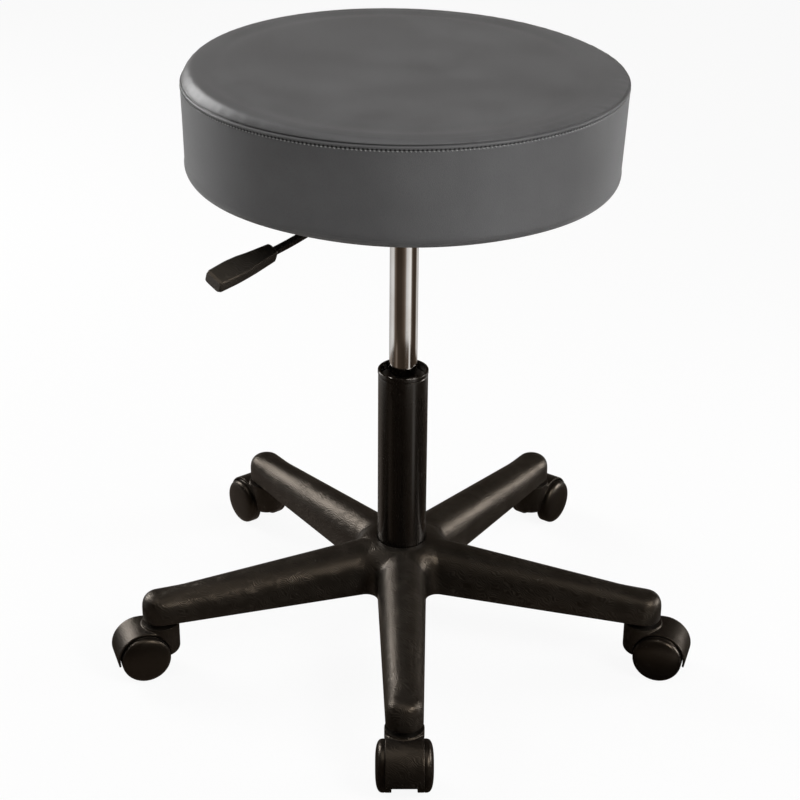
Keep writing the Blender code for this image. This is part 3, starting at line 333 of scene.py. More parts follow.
def nylon(name, dark, light, gloss, bump, curl_share, curl_scale=170.0, grain_scale=1200.0):
    """Moulded black plastic: a dark colour that pales on the curls and specks, with a satin sheen that varies.

    Gloss is the least and the greatest roughness, and bump the strength of the grain's relief.
    """
    paint, tree, shader = coated(name, {"Specular IOR Level": 0.5, "Specular Tint": SPECULAR_BROWN})
    scales = {"Curl Scale": curl_scale, "Grain Scale": grain_scale}
    grain = node(tree, "Group", scales, node_tree=grain_group).outputs
    body = mixed(tree, ranged(tree, grain["Tone"], 0, 1, 0.3, 0.7), dark, light)
    body = mixed(tree, times(tree, grain["Curls"], curl_share), body, [CURL_PALING * c for c in light])
    body = mixed(tree, times(tree, grain["Specks"], 0.6), body, SPECK_GREY)
    shine = maths(tree, "SUBTRACT", grain["Tone"], times(tree, grain["Curls"], 0.2))
    feed(tree, shader, body, ranged(tree, shine, *gloss, 0.25, 0.75), grain["Height"], bump)
    return paint


def half_width(x):
    """Half the width of a leg at a distance from the column: a straight taper from root to end."""
    return LEG_ROOT_HALF - math.tan(taper) * (x - LEG_ROOT_DISTANCE)


def ridge_height(x):
    """Height of a leg's spine at a distance from the column: a straight fall from hub to end."""
    return HUB_TOP + (LEG_END_TOP - HUB_TOP) * (x - HUB_COLLAR) / (STEM_CIRCLE - HUB_COLLAR)


def polar(radius, angle):
    """Points of a plane: the radius times the cosine and the sine of the angle."""
    return np.stack([radius * np.cos(angle), radius * np.sin(angle)], -1)


def unit(vectors):
    """Vectors divided by their lengths."""
    return vectors / np.linalg.norm(vectors, axis=-1, keepdims=True)


def half_leg():
    """Half of a leg from above: its outline, and the point of the spine line that each outline point rises to.

    The outline is a circular fillet in the crotch, a straight tapering side and a quarter ellipse round the end.
    The spine runs round the hub's collar, along the leg's middle and stops over the caster's stem.
    """
    level = LEG_ROOT_HALF + math.tan(taper) * LEG_ROOT_DISTANCE
    slant = math.sin(half_sector) + math.tan(taper) * math.cos(half_sector)
    reach = (CROTCH_FILLET / math.cos(taper) + level) / slant
    t = np.linspace(0, 1, FILLET_STEPS + 1)
    turn = math.pi + half_sector + (math.pi / 2 - taper - half_sector) * t
    fillet = polar(reach, np.array(half_sector)) + polar(CROTCH_FILLET, turn)
    collar = polar(HUB_COLLAR, half_sector * (1 - t))
    t = np.linspace(0, 1, SIDE_STEPS + 1)[1:]
    x = fillet[-1, 0] + (STEM_CIRCLE - fillet[-1, 0]) * t
    straight = np.stack([x, half_width(x)], -1)
    middle = np.stack([HUB_COLLAR + (STEM_CIRCLE - HUB_COLLAR) * t, 0 * t], -1)
    quarter = math.pi / 2 * (1 - np.linspace(0, 1, TIP_STEPS + 1)[1:])
    end = np.stack([STEM_CIRCLE + 0 * quarter, 0 * quarter], -1)
    tip = end + polar(1, quarter) * [LEG_END_REACH, LEG_END_HALF]
    return np.vstack([fillet, straight, tip]), np.vstack([collar, middle, end])


def all_legs(points):
    """Mirror half a leg's points into a whole leg and turn it to every leg's direction: one closed loop."""
    leg = np.vstack([points[:-1] * [1, -1], points[:0:-1]])
    turns = np.stack([polar(1, leg_angles), polar(1, leg_angles + math.pi / 2)], 1)
    return np.einsum("nk,lkj->lnj", leg, turns).reshape(-1, 2)


def all_values(values):
    """Values of half a leg's points, mirrored and repeated for the closed loop round all legs."""
    return np.tile(np.concatenate([values[:-1], values[:0:-1]]), LEGS)


def star_surface():
    """Rings of the star: up the wall, over quarter ellipses to the spine, down the hub's bore and back below.

    Towards a leg's end the ellipses get squarer shoulders, by a lower power of their cosine and sine.
    """
    outline, spine = half_leg()
    across = np.clip(outline[:, 0], outline[FILLET_STEPS, 0], STEM_CIRCLE)
    wall_top = all_values(ridge_height(across) - half_width(across))
    on_hub = np.arange(len(spine)) <= FILLET_STEPS
    top = all_values(np.where(on_hub, HUB_TOP, ridge_height(spine[:, 0])))
    on_hub = all_values(on_hub)
    out, core = all_legs(outline), all_legs(spine)
    ahead = unit(np.roll(out, -1, 0) - np.roll(out, 1, 0))
    outward = np.stack([ahead[:, 1], -ahead[:, 0]], -1)
    turn = np.linspace(0, math.pi / 2, EDGE_STEPS + 1)[:, None]
    edge = out + (np.sin(turn)[..., None] - 1) * LEG_EDGE * outward
    edge_rings = np.dstack([edge, LEG_BOTTOM + LEG_EDGE * (1 - np.cos(turn)) + 0 * wall_top])
    turn = np.linspace(0, math.pi / 2, ROUND_STEPS + 1)[:, None]
    near_end = np.clip((outline[:, 0] - STEM_CIRCLE + TIP_BLEND) / TIP_BLEND, 0, 1)
    power = 1 - TIP_SQUARENESS * all_values(near_end)
    flat = out + (core - out) * (1 - np.cos(turn).clip(0) ** power)[..., None]
    round_rings = np.dstack([flat, wall_top + (top - wall_top) * np.sin(turn) ** power])
    hub = np.array([(HUB_BORE + HUB_CHAMFER, HUB_TOP), (HUB_BORE, HUB_TOP - HUB_CHAMFER), (HUB_BORE_FOOT, HUB_BOTTOM),
                    (HUB_COLLAR - COLLAR_CHAMFER, HUB_BOTTOM), (HUB_COLLAR, HUB_BOTTOM + COLLAR_CHAMFER)])
    hub_rings = np.dstack([hub[:, :1, None] * unit(core), hub[:, 1:] + 0 * wall_top])
    foot = np.column_stack([core, LEG_BOTTOM + 0 * wall_top])[None]
    grid = np.concatenate([edge_rings, round_rings, hub_rings, foot])
    keep = np.ones(grid.shape[:2], bool)
    ridge = len(edge_rings) + len(round_rings) - 1
    keep[ridge:-1] = on_hub & np.roll(on_hub, -1)
    return grid, keep


def pocket_boxes():
    """The pockets under the legs, two rows in each: eight corners per pocket, with the leg's wall left above."""
    start = np.linspace(POCKETS_START, POCKETS_END, POCKETS + 1)
    x = np.stack([start[:-1], start[1:] - LEG_RIB, start[1:] - LEG_RIB, start[:-1]], -1)
    y = half_width(x) - LEG_WALL
    y[:, :2] = LEG_RIB / 2
    ceiling = ridge_height(x) - half_width(x) + np.sqrt(half_width(x) ** 2 - y ** 2) - LEG_WALL
    low = np.stack([x, y, 0 * x + LEG_BOTTOM - LEG_WALL], -1)
    box = np.stack([low, np.stack([x, y, ceiling], -1)], 1)
    both = np.stack([box, box * [1, -1, 1]])
    turns = np.stack([np.array(Matrix.Rotation(a, 3, "Z")) for a in leg_angles])
    return np.einsum("lij,spckj->lspcki", turns, both).reshape(-1, 8, 3)


def finished(item):
    """An object's mesh with its modifiers applied; the object itself goes."""
    bpy.context.view_layer.update()
    mesh = bpy.data.meshes.new_from_object(item.evaluated_get(bpy.context.evaluated_depsgraph_get()))
    bpy.data.objects.remove(item, do_unlink=True)
    return mesh


def modify(item, kind, **settings):
    """Add a modifier with the given settings."""
    return assign(item.modifiers.new(kind, kind), settings)


def merged(mesh, steps):
    """Join meshes to a mesh, or cut them out of it, one after the other."""
    body = shown("body", mesh)
    tools = [shown("tool", tool_mesh) for operation, tool_mesh in steps]
    for (operation, tool_mesh), tool in zip(steps, tools):
        modify(body, "BOOLEAN", operation=operation, object=tool)
    result = finished(body)
    for tool in tools:
        bpy.data.objects.remove(tool, do_unlink=True)
    return result


def piece(name, mesh, paint, body, slot_name, *nodes, at=Matrix(), on=upright):
    """A finished piece instead of its solids, smooth with true edges sharp.

    It is set at its place in an assembly, which stands upright on the column or leans on it.
    """
    mesh.transform(on @ at)
    mesh.materials.clear()
    mesh.materials.append(paint)
    mesh.shade_smooth()
    mesh.set_sharp_from_angle(angle=SHARP)
    item = shown(name, mesh)
    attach(item, body)
    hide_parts(*nodes)
    return item


grain_group = moulded_grain()
leg_nylon = nylon("leg_nylon", (0.0030, 0.0026, 0.0021), (0.0052, 0.0045, 0.0037), gloss=(0.33, 0.45), bump=0.37,
                  curl_share=0.80, curl_scale=190.0, grain_scale=700.0)
star_grid, star_quads = star_surface()
star = skin("star_base_moulding", star_grid, join_rows=True, keep=star_quads)
pockets = pocket_boxes()
box_faces = np.array([(0, 1, 2, 3), (4, 5, 6, 7), (0, 1, 5, 4), (1, 2, 6, 5), (2, 3, 7, 6), (3, 0, 4, 7)])
pocket_faces = (box_faces + 8 * np.arange(len(pockets))[:, None, None]).reshape(-1, 4)
star = merged(star, [("DIFFERENCE", mesh_of("pockets", pockets, pocket_faces.tolist()))])
piece("star_base_moulding", star, leg_nylon, "base", "black_nylon", "star_base")

# Caster stems: turned steel pins with a thrust collar, pressed up into the leg ends. The collar is what shows,
# as a dark slit between the leg and the caster's neck.
NECK_TOP, FIT = 0.0548, 0.0003
STEM_RADIUS, STEM_COLLAR, SPIGOT_RADIUS, STEM_EASE = 0.0055, 0.010, 0.005, 0.0006
STEM_TOP, SPIGOT_END = LEG_BOTTOM + 0.022, NECK_TOP - 0.016


def stepped(*values):
    """Corners of a stepped profile: radius, height, radius, height and so on, each moving from the corner before."""
    return [pair if k % 2 == 0 else pair[::-1] for k, pair in enumerate(zip(values, values[1:]))]


def eased(corners, radius, closed=False, steps=4):
    """A profile with rounded corners: each becomes a curve of second degree that leaves its sides at the radius."""
    corner = np.asarray(corners, float)
    share = np.linspace(0, 1, steps + 1)[None, :, None]
    ends = []
    for other in (np.roll(corner, 1, 0), np.roll(corner, -1, 0)):
        reach = np.linalg.norm(other - corner, axis=1, keepdims=True)
        ends.append((corner + (other - corner) * np.minimum(radius / reach, 0.5))[:, None])
    curve = (1 - share) ** 2 * ends[0] + 2 * share * (1 - share) * corner[:, None] + share ** 2 * ends[1]
    if closed:
        return curve.reshape(-1, 2)
    return np.vstack([corner[:1], curve[1:-1].reshape(-1, 2), corner[-1:]])


def turned(profile, columns):
    """Points of a profile of (radius, height) rows turned about Z, one column for each angle."""
    return round_points(profile[:, :1], around(columns), profile[:, 1:])


def lathe(name, corners, radius, columns, closed=False):
    """A turned piece with eased corners. A closed profile makes a ring; an open one starts and ends on the axis."""
    return skin(name, turned(eased(corners, radius, closed), columns), join_rows=closed)


def rub_marks():
    """Wear of smooth metal: hairlines from noise drawn out along Z, small pits and a broad cloudy tone."""
    tree, given = group("rub_marks", {"Hairline Scale": 700, "Pit Scale": 320})
    drawn = node(tree, "Mapping", {"Vector": place_of(tree), "Scale": (1, 1, 0.03)}).outputs[0]
    return put_out(tree, Hairlines=noise(tree, given["Hairline Scale"], 3.0, drawn),
                   Pits=spots(tree, given["Pit Scale"], 0.04, 0.16, 0.94), Cloud=noise(tree, 30.0, 4.0))


def metal(name, bright, dull, gloss, bump=0.05, hairline_scale=700.0):
    """Bare or plated metal: cloudy colour between two tones, hairlines in the gloss, and a few dark pits."""
    paint, tree, shader = coated(name, {"Metallic": 1.0})
    wear = node(tree, "Group", {"Hairline Scale": hairline_scale}, node_tree=rub_group).outputs
    body = mixed(tree, ranged(tree, wear["Cloud"], 0, 1, 0.35, 0.65), bright, dull)
    body = mixed(tree, times(tree, wear["Pits"], 0.5), body, [0.25 * c for c in dull])
    shine = blended(tree, wear["Hairlines"], 0.6, wear["Cloud"], 0.4)
    feed(tree, shader, body, ranged(tree, shine, *gloss, 0.35, 0.65), wear["Hairlines"], bump, 0.0002)
    return paint


rub_group = rub_marks()
turned_steel = metal("turned_steel", (0.56, 0.55, 0.54), (0.40, 0.39, 0.38), gloss=(0.22, 0.42))
stem_places = [Matrix.Rotation(a, 4, "Z") @ Matrix.Translation((STEM_CIRCLE, 0, 0)) for a in leg_angles]
stem_corners = stepped(0, STEM_TOP, STEM_RADIUS, LEG_BOTTOM - FIT, STEM_COLLAR, NECK_TOP + FIT, SPIGOT_RADIUS,
                       SPIGOT_END, 0)
stem = lathe("stem", stem_corners, STEM_EASE, 36)
for number, place in enumerate(stem_places, 1):
    piece(f"stem_{number}", stem.copy(), turned_steel, "base", "bright_steel", f"caster_stem_{number}", at=place)

# Caster hoods: moulded nylon forks. A round neck turns on the stem and runs into a fender over both treads, with
# a web between the wheels that holds the axle; every edge has the soft radius of a moulding.
AXLE_HEIGHT, CASTER_TRAIL = 0.025, 0.020
ARCH_RADIUS, HOOD_RADIUS, HOOD_HALF_WIDTH, FENDER_OVERLAP = 0.0258, 0.0281, 0.0185, 0.002
FENDER_TIP, FENDER_ROOT, WEB_ROOT = math.radians(-13), math.radians(160), math.radians(150)
NECK_RADIUS, NECK_FOOT, NECK_ROUNDING = 0.0190, NECK_TOP - 0.0345, 0.006
WEB_HALF_WIDTH, AXLE_BOSS, AXLE_BORE = 0.009, 0.0085, 0.0033
THROUGH, HOOD_VOXEL = 0.04, 0.00075


def bar(outline, low, high):
    """An outline in the (x, z) plane drawn along Y, closed at both ends."""
    flat = np.asarray(outline, float)
    rows = np.stack([np.column_stack([flat[:, 0], 0 * flat[:, 0] + y, flat[:, 1]]) for y in (low, high)])
    index = np.arange(2 * len(flat)).reshape(2, -1)
    quads = quads_of(np.column_stack([index, index[:, :1]])).reshape(-1, 4)
    return mesh_of("bar", rows, quads.tolist() + index.tolist())


def pin(centre, radius, columns, low, high):
    """A round bar along Y about a centre in the (x, z) plane."""
    return bar(np.asarray(centre) + polar(radius, around(columns)), low, high)


def arc(centre, radius, start, end, steps):
    """Evenly spaced points of a circle's arc, from one angle to another."""
    return np.asarray(centre) + polar(radius, np.linspace(start, end, steps + 1))


def hood_moulding():
    """Neck and fender joined, the wheels' arch cut out, the web put back; then remeshed, smoothed and thinned."""
    axle = (CASTER_TRAIL, AXLE_HEIGHT)
    fender = bar(np.vstack([arc(axle, HOOD_RADIUS, FENDER_TIP, FENDER_ROOT, 60),
                            arc(axle, ARCH_RADIUS - FENDER_OVERLAP, FENDER_ROOT, FENDER_TIP, 30)]),
                 -HOOD_HALF_WIDTH, HOOD_HALF_WIDTH)
    foot_corner = (NECK_RADIUS - NECK_ROUNDING, NECK_FOOT + NECK_ROUNDING)
    foot = arc(foot_corner, NECK_ROUNDING, 0, -math.pi / 2, 8)
    neck = skin("neck", turned(np.vstack([[(0, NECK_TOP), (NECK_RADIUS, NECK_TOP)], foot, [(0, NECK_FOOT)]]), 96))
    middle, web_start = (ARCH_RADIUS + HOOD_RADIUS) / 2, -NECK_RADIUS / 2
    web = bar(np.vstack([arc(axle, AXLE_BOSS, math.pi, 2 * math.pi, 16),
                         arc(axle, middle, math.acos(AXLE_BOSS / middle), WEB_ROOT, 24),
                         [(web_start, NECK_FOOT + 2 * NECK_ROUNDING), (web_start, NECK_FOOT + NECK_ROUNDING)]]),
              -WEB_HALF_WIDTH, WEB_HALF_WIDTH)
    bore = stepped(0, SPIGOT_END - FIT, SPIGOT_RADIUS + FIT, NECK_TOP + 0.01, 0)
    mesh = merged(neck, [("UNION", fender),
                         ("DIFFERENCE", pin(axle, ARCH_RADIUS, 96, -THROUGH, THROUGH)),
                         ("UNION", web),
                         ("DIFFERENCE", pin(axle, AXLE_BORE, 32, -THROUGH, THROUGH)),
                         ("DIFFERENCE", skin("bore", turned(np.array(bore), 32)))])
    item = shown("hood", mesh)
    modify(item, "REMESH", mode="VOXEL", voxel_size=HOOD_VOXEL)
    modify(item, "SMOOTH", factor=0.5, iterations=4)
    modify(item, "DECIMATE", ratio=0.30)
    return finished(item)


hood_nylon = nylon("hood_nylon", (0.0020, 0.0017, 0.0014), (0.0034, 0.0029, 0.0024), gloss=(0.36, 0.46), bump=0.27,
                   curl_share=0.5, curl_scale=200.0, grain_scale=900.0)
hood = hood_moulding()
for number, place in enumerate(stem_places, 1):
    piece(f"hood_{number}", hood.copy(), hood_nylon, f"caster_{number}", "black_nylon", f"caster_hood_{number}",
          at=place)

# Caster wheels and axles: each wheel is moulded in one, with a flat tread, a shallow groove beside it and a domed
# outer disc. It snaps on the end of a plain steel axle that runs through the hood's web.
WHEEL_RADIUS, WHEEL_INNER, TREAD_END, WHEEL_DOME, DOME_FULLNESS = 0.025, 0.0122, 0.0190, 0.0085, 0.62
RECESS_START, RECESS_END, RECESS_SLOPE, RECESS_DEPTH = 0.0075, 0.0195, 0.0010, 0.0012
BORE_DEPTH, GROOVE, GROOVE_WIDTH, WHEEL_EASE = 0.004, 0.0005, 0.0009, 0.0006
AXLE_RADIUS, AXLE_REACH, AXLE_EASE = 0.003, 0.0205, 0.0005


def wheel_profile():
    """From the blind axle bore over the inner face and tread to a dome: powers of cosine and sine of one angle."""
    bore, recess = AXLE_RADIUS + FIT, WHEEL_INNER + RECESS_DEPTH
    inner = eased([(bore, WHEEL_INNER + BORE_DEPTH), (bore, WHEEL_INNER), (RECESS_START, WHEEL_INNER),
                   (RECESS_START + RECESS_SLOPE, recess), (RECESS_END - RECESS_SLOPE, recess),
                   (RECESS_END, WHEEL_INNER), (WHEEL_RADIUS, WHEEL_INNER), (WHEEL_RADIUS, TREAD_END - GROOVE_WIDTH),
                   (WHEEL_RADIUS - GROOVE, TREAD_END - GROOVE), (WHEEL_RADIUS, TREAD_END)], WHEEL_EASE)
    angle = np.linspace(0, math.pi / 2, 30)[1:]
    dome = [0, TREAD_END] + polar(1, angle).clip(0) ** DOME_FULLNESS * [WHEEL_RADIUS, WHEEL_DOME]
    dome[-1, 0] = 0
    floor = [(0, AXLE_REACH + FIT), (bore, AXLE_REACH + FIT)]
    return np.vstack([floor, inner, dome])


wheel_plastic = nylon("wheel_plastic", (0.0022, 0.0018, 0.0015), (0.0036, 0.0030, 0.0025), gloss=(0.28, 0.38),
                      bump=0.08, curl_share=0.1)
axle_steel = metal("axle_steel", (0.56, 0.55, 0.54), (0.42, 0.41, 0.40), gloss=(0.2, 0.4))
wheel = skin("wheel", turned(wheel_profile(), 80))
axle = lathe("axle", stepped(0, -AXLE_REACH, AXLE_RADIUS, AXLE_REACH, 0), AXLE_EASE, 28)
for number, place in enumerate(stem_places, 1):
    hub_place = place @ Matrix.Translation((CASTER_TRAIL, 0, AXLE_HEIGHT))
    left, right = (hub_place @ Matrix.Rotation(turn, 4, "X") for turn in (math.pi / 2, -math.pi / 2))
    piece(f"axle_{number}", axle.copy(), axle_steel, f"caster_{number}", "bright_steel", f"caster_axle_{number}",
          at=left)
    for hand, hand_place in (("left", left), ("right", right)):
        piece(f"wheel_{number}_{hand}", wheel.copy(), wheel_plastic, f"wheel_{number}_{hand}", "tread_plastic",
              f"caster_wheel_{number}_{hand}", at=hand_place)

# Column tube: drawn steel tube with a tapered foot in the hub, enamelled gloss black. Its mouth is rolled to a
# bead over the guide bush, and a round crimp with two punch marks under the bead holds the bush.
TUBE_RADIUS, TUBE_WALL, TUBE_FOOT_RADIUS = 0.025, 0.002, 0.0235
TUBE_TOP, TUBE_BOTTOM, TUBE_FLOOR, ROD_BORE = 0.3009, 0.0473, 0.005, 0.0053
RIM_BEAD, RIM_HEIGHT, RIM_EASE, INSIDE_EASE = 0.0004, 0.0045, 0.0008, 0.0006
RIM_SLOPE, NECK_LENGTH, NECK_END, MOUTH_LENGTH, MOUTH_SPACING = 0.0005, 0.0003, 0.0010, 0.030, 0.0005
CRIMP_HEIGHT, CRIMP_ANGLE, CRIMP_RADIUS, CRIMP_DEPTH = TUBE_TOP - 0.0165, math.radians(-106), 0.0055, 0.0003
PUNCH_SPREAD, PUNCH_RADIUS, PUNCH_DEPTH = 0.0039, 0.0011, 0.0006
CHIP_GREY, SPECULAR_WARM = (0.10, 0.09, 0.08), (1.0, 0.86, 0.72, 1)


def run_of(profile):
    """The way run along a profile up to each of its points."""
    return np.concatenate([[0], np.cumsum(np.linalg.norm(np.diff(profile, axis=0), axis=1))])


def at_stops(profile, stops):
    """Points of a profile at the given stops along it."""
    return np.stack([np.interp(stops, run_of(profile), values) for values in profile.T], -1)


def resampled(profile, spacing):
    """A profile's points with others put in between, none further apart than the spacing along it."""
    run = run_of(profile)
    return at_stops(profile, np.unique(np.concatenate([run, np.arange(0, run[-1], spacing)]).round(7)))


def tube_surface():
    """The turned tube, pressed in near its mouth by three bell-shaped dents placed by angle and height."""
    rim, neck, inside = TUBE_RADIUS + RIM_BEAD, TUBE_RADIUS - RIM_BEAD, TUBE_RADIUS - TUBE_WALL
    groove, floor_top = TUBE_TOP - RIM_HEIGHT, TUBE_BOTTOM + TUBE_FLOOR
    outer = eased([(inside, TUBE_TOP), (rim, TUBE_TOP), (rim, groove + RIM_SLOPE), (neck, groove),
                   (neck, groove - NECK_LENGTH), (TUBE_RADIUS, groove - NECK_END),
                   (TUBE_RADIUS, TUBE_TOP - MOUTH_LENGTH), (TUBE_RADIUS, HUB_TOP),
                   (TUBE_FOOT_RADIUS, TUBE_BOTTOM)], RIM_EASE)
    inner = eased([(TUBE_FOOT_RADIUS, TUBE_BOTTOM), (ROD_BORE, TUBE_BOTTOM), (ROD_BORE, floor_top),
                   (TUBE_FOOT_RADIUS - TUBE_WALL, floor_top), (inside, HUB_TOP), (inside, TUBE_TOP)], INSIDE_EASE)
    at_mouth = outer[:, 1] > TUBE_TOP - MOUTH_LENGTH - MOUTH_SPACING
    profile = np.vstack([resampled(outer[at_mouth], MOUTH_SPACING), outer[~at_mouth], inner[1:-1]])
    grid = turned(profile, 256)
    angle = np.arctan2(grid[..., 1], grid[..., 0])
    outside = np.linalg.norm(grid[..., :2], axis=-1) > TUBE_RADIUS - TUBE_WALL / 2
    depth = 0 * angle
    for shift, radius, deep in ((0, CRIMP_RADIUS, CRIMP_DEPTH), (-PUNCH_SPREAD, PUNCH_RADIUS, PUNCH_DEPTH),
                                (PUNCH_SPREAD, PUNCH_RADIUS, PUNCH_DEPTH)):
        across = (angle - CRIMP_ANGLE) * TUBE_RADIUS - shift
        depth += deep * np.exp(-((across ** 2 + (grid[..., 2] - CRIMP_HEIGHT) ** 2) / radius ** 2) ** 2)
    grid[..., :2] *= (1 - outside * depth / TUBE_RADIUS)[..., None]
    return grid


def enamel(name, dark, light, gloss):
    """Gloss black paint: slight orange peel, faint hairlines in the gloss and pinhead chips of bare grey."""
    paint, tree, shader = coated(name, {"Specular IOR Level": 0.5, "Specular Tint": SPECULAR_WARM, "Coat Weight": 0.35,
                                        "Coat Roughness": 0.08})
    scales = {"Hairline Scale": 500.0, "Pit Scale": 210.0}
    wear = node(tree, "Group", scales, node_tree=rub_group).outputs
    body = mixed(tree, ranged(tree, wear["Cloud"], 0, 1, 0.3, 0.7), dark, light)
    body = mixed(tree, times(tree, wear["Pits"], 0.25), body, CHIP_GREY)
    shine = blended(tree, wear["Hairlines"], 0.4, wear["Cloud"], 0.6)
    feed(tree, shader, body, ranged(tree, shine, *gloss, 0.3, 0.7), noise(tree, 260.0, 1.0), 0.06, 0.0004)
    return paint


tube_enamel = enamel("tube_enamel", (0.0022, 0.0018, 0.0015), (0.0036, 0.0030, 0.0025), gloss=(0.22, 0.32))
piece("tube", skin("tube", tube_surface(), join_rows=True), tube_enamel, "base", "black_enamel", "column_tube")

# Guide bush and the lift's inner pieces: an acetal bush in the tube's mouth, and inside the tube the thrust
# bearing, piston rod, bump ring and clip, which keep their solids under finishes of their own.
BUSH_TOP, BUSH_BOTTOM, BUSH_OUTER, BUSH_BORE, BUSH_EASE = TUBE_TOP - 0.0078, TUBE_TOP - 0.074, 0.0227, 0.0143, 0.0009
bush_plastic = nylon("bush_plastic", (0.0060, 0.0055, 0.0050), (0.0100, 0.0092, 0.0085), gloss=(0.40, 0.55), bump=0.05,
                     curl_share=0.2)
bush = lathe("bush", stepped(BUSH_BORE, BUSH_TOP, BUSH_OUTER, BUSH_BOTTOM, BUSH_BORE), BUSH_EASE, 96, closed=True)
piece("bush", bush, bush_plastic, "base", "bush_plastic", "guide_bush")
cage_brass = metal("cage_brass", (0.66, 0.49, 0.23), (0.50, 0.36, 0.16), gloss=(0.25, 0.42))
rod_steel = metal("rod_steel", (0.60, 0.59, 0.58), (0.45, 0.44, 0.43), gloss=(0.14, 0.30))
ring_rubber = nylon("ring_rubber", (0.016, 0.015, 0.015), (0.026, 0.025, 0.024), gloss=(0.70, 0.90), bump=0.10,
                    curl_share=0.2, grain_scale=700.0)
for name, paint in (("bearing_race_lower", rod_steel), ("bearing_race_upper", rod_steel), ("bearing_cage", cage_brass),
                    ("retaining_clip", turned_steel), ("piston_rod", rod_steel), ("bump_ring", ring_rubber),
                    ("valve_pin", cage_brass)):
    frame["nodes"][name].data.materials[0] = paint

# Gas cylinder: a hard-chromed steel pressure tube. It slides in the bush, and its tapered upper end is driven into
# the seat plate's socket.
CYLINDER_RADIUS, CYLINDER_BORE, TAPER_RADIUS, TAPER_WALL = 0.014, 0.0125, 0.0133, 0.0015
CYLINDER_BOTTOM, CYLINDER_TOP, CYLINDER_EASE = 0.2209, 0.4895, 0.0005
SOCKET_BOTTOM, SOCKET_TOP = 0.4559, 0.4879
CYLINDER_FLOOR, VALVE_SEAT, VALVE_BORE = CYLINDER_BOTTOM + 0.012, CYLINDER_TOP - 0.010, 0.0038
chrome = metal("hard_chrome", (0.80, 0.775, 0.745), (0.70, 0.665, 0.625), gloss=(0.05, 0.13), bump=0.03,
               hairline_scale=900.0)
cylinder_corners = [(VALVE_BORE, CYLINDER_TOP), (TAPER_RADIUS, CYLINDER_TOP), (TAPER_RADIUS, SOCKET_TOP),
                    (CYLINDER_RADIUS, SOCKET_BOTTOM), (CYLINDER_RADIUS, CYLINDER_BOTTOM), (ROD_BORE, CYLINDER_BOTTOM),
                    (ROD_BORE, CYLINDER_FLOOR), (CYLINDER_BORE, CYLINDER_FLOOR), (CYLINDER_BORE, SOCKET_BOTTOM),
                    (TAPER_RADIUS - TAPER_WALL, VALVE_SEAT), (VALVE_BORE, VALVE_SEAT)]
cylinder = lathe("cylinder", cylinder_corners, CYLINDER_EASE, 128, closed=True)
piece("cylinder", cylinder, chrome, "seat", "chrome_plate", "gas_cylinder")

# Seat plate and socket: a pressed steel plate whose round well carries the welded taper socket, black enamelled.
# Four hexagon bolts hold the plate's flange under the seat board. It sits on the taper with a slight lean.
PLATE_TOP, PLATE_WALL, PLATE_HALF, PLATE_CORNER, PLATE_BULGE = 0.5121, 0.002, 0.0825, 0.020, 1.003
WELL_FLOOR, WELL_MOUTH_RADIUS, WELL_FLOOR_RADIUS, WELL_RIM_RADIUS = 0.4769, 0.063, 0.050, 0.071
RIM_ROUNDING, WELL_ROUNDING, HOLE_ROUNDING = 0.004, 0.006, 0.0004
SOCKET_RADIUS, SOCKET_BORE, SOCKET_LIP, LIP_HEIGHT, SOCKET_EASE = 0.0183, 0.0143, 0.003, 0.002, 0.0006
WELD_REACH, WELD_DROP, WELD_BULGE, WELD_RIPPLES, WELD_RIPPLE = 0.0022, 0.0026, (0.0016, 0.0014), 30, 0.012
LEVER_TURN = -math.pi / 2 - math.radians(45)
PIVOT_RADIUS, LEVER_HEIGHT, GROMMET_RADIUS, GROMMET_BORE = 0.058, 0.4995, 0.0069, 0.0047
LEVER_HOLE_START, LEVER_HOLE_END = 0.042, 0.075
BOLT_SPACING, BOLT_RADIUS, BOLT_HEAD_HALF, BOLT_HEAD_HEIGHT, BOLT_END = 0.130, 0.004, 0.0065, 0.0053, 0.5247
BOLT_CHAMFER, BOLT_EDGE = ((0.0005, 0.0003), (0.0012, 0.0008)), 0.0003
SEAT_LEAN = math.radians(1.05)
plate_place = Matrix.Rotation(LEVER_TURN, 4, "Z")
taper_middle = Matrix.Translation((0, 0, (SOCKET_BOTTOM + SOCKET_TOP) / 2))
leaning = upright @ taper_middle @ Matrix.Rotation(SEAT_LEAN, 4, "Y") @ taper_middle.inverted()


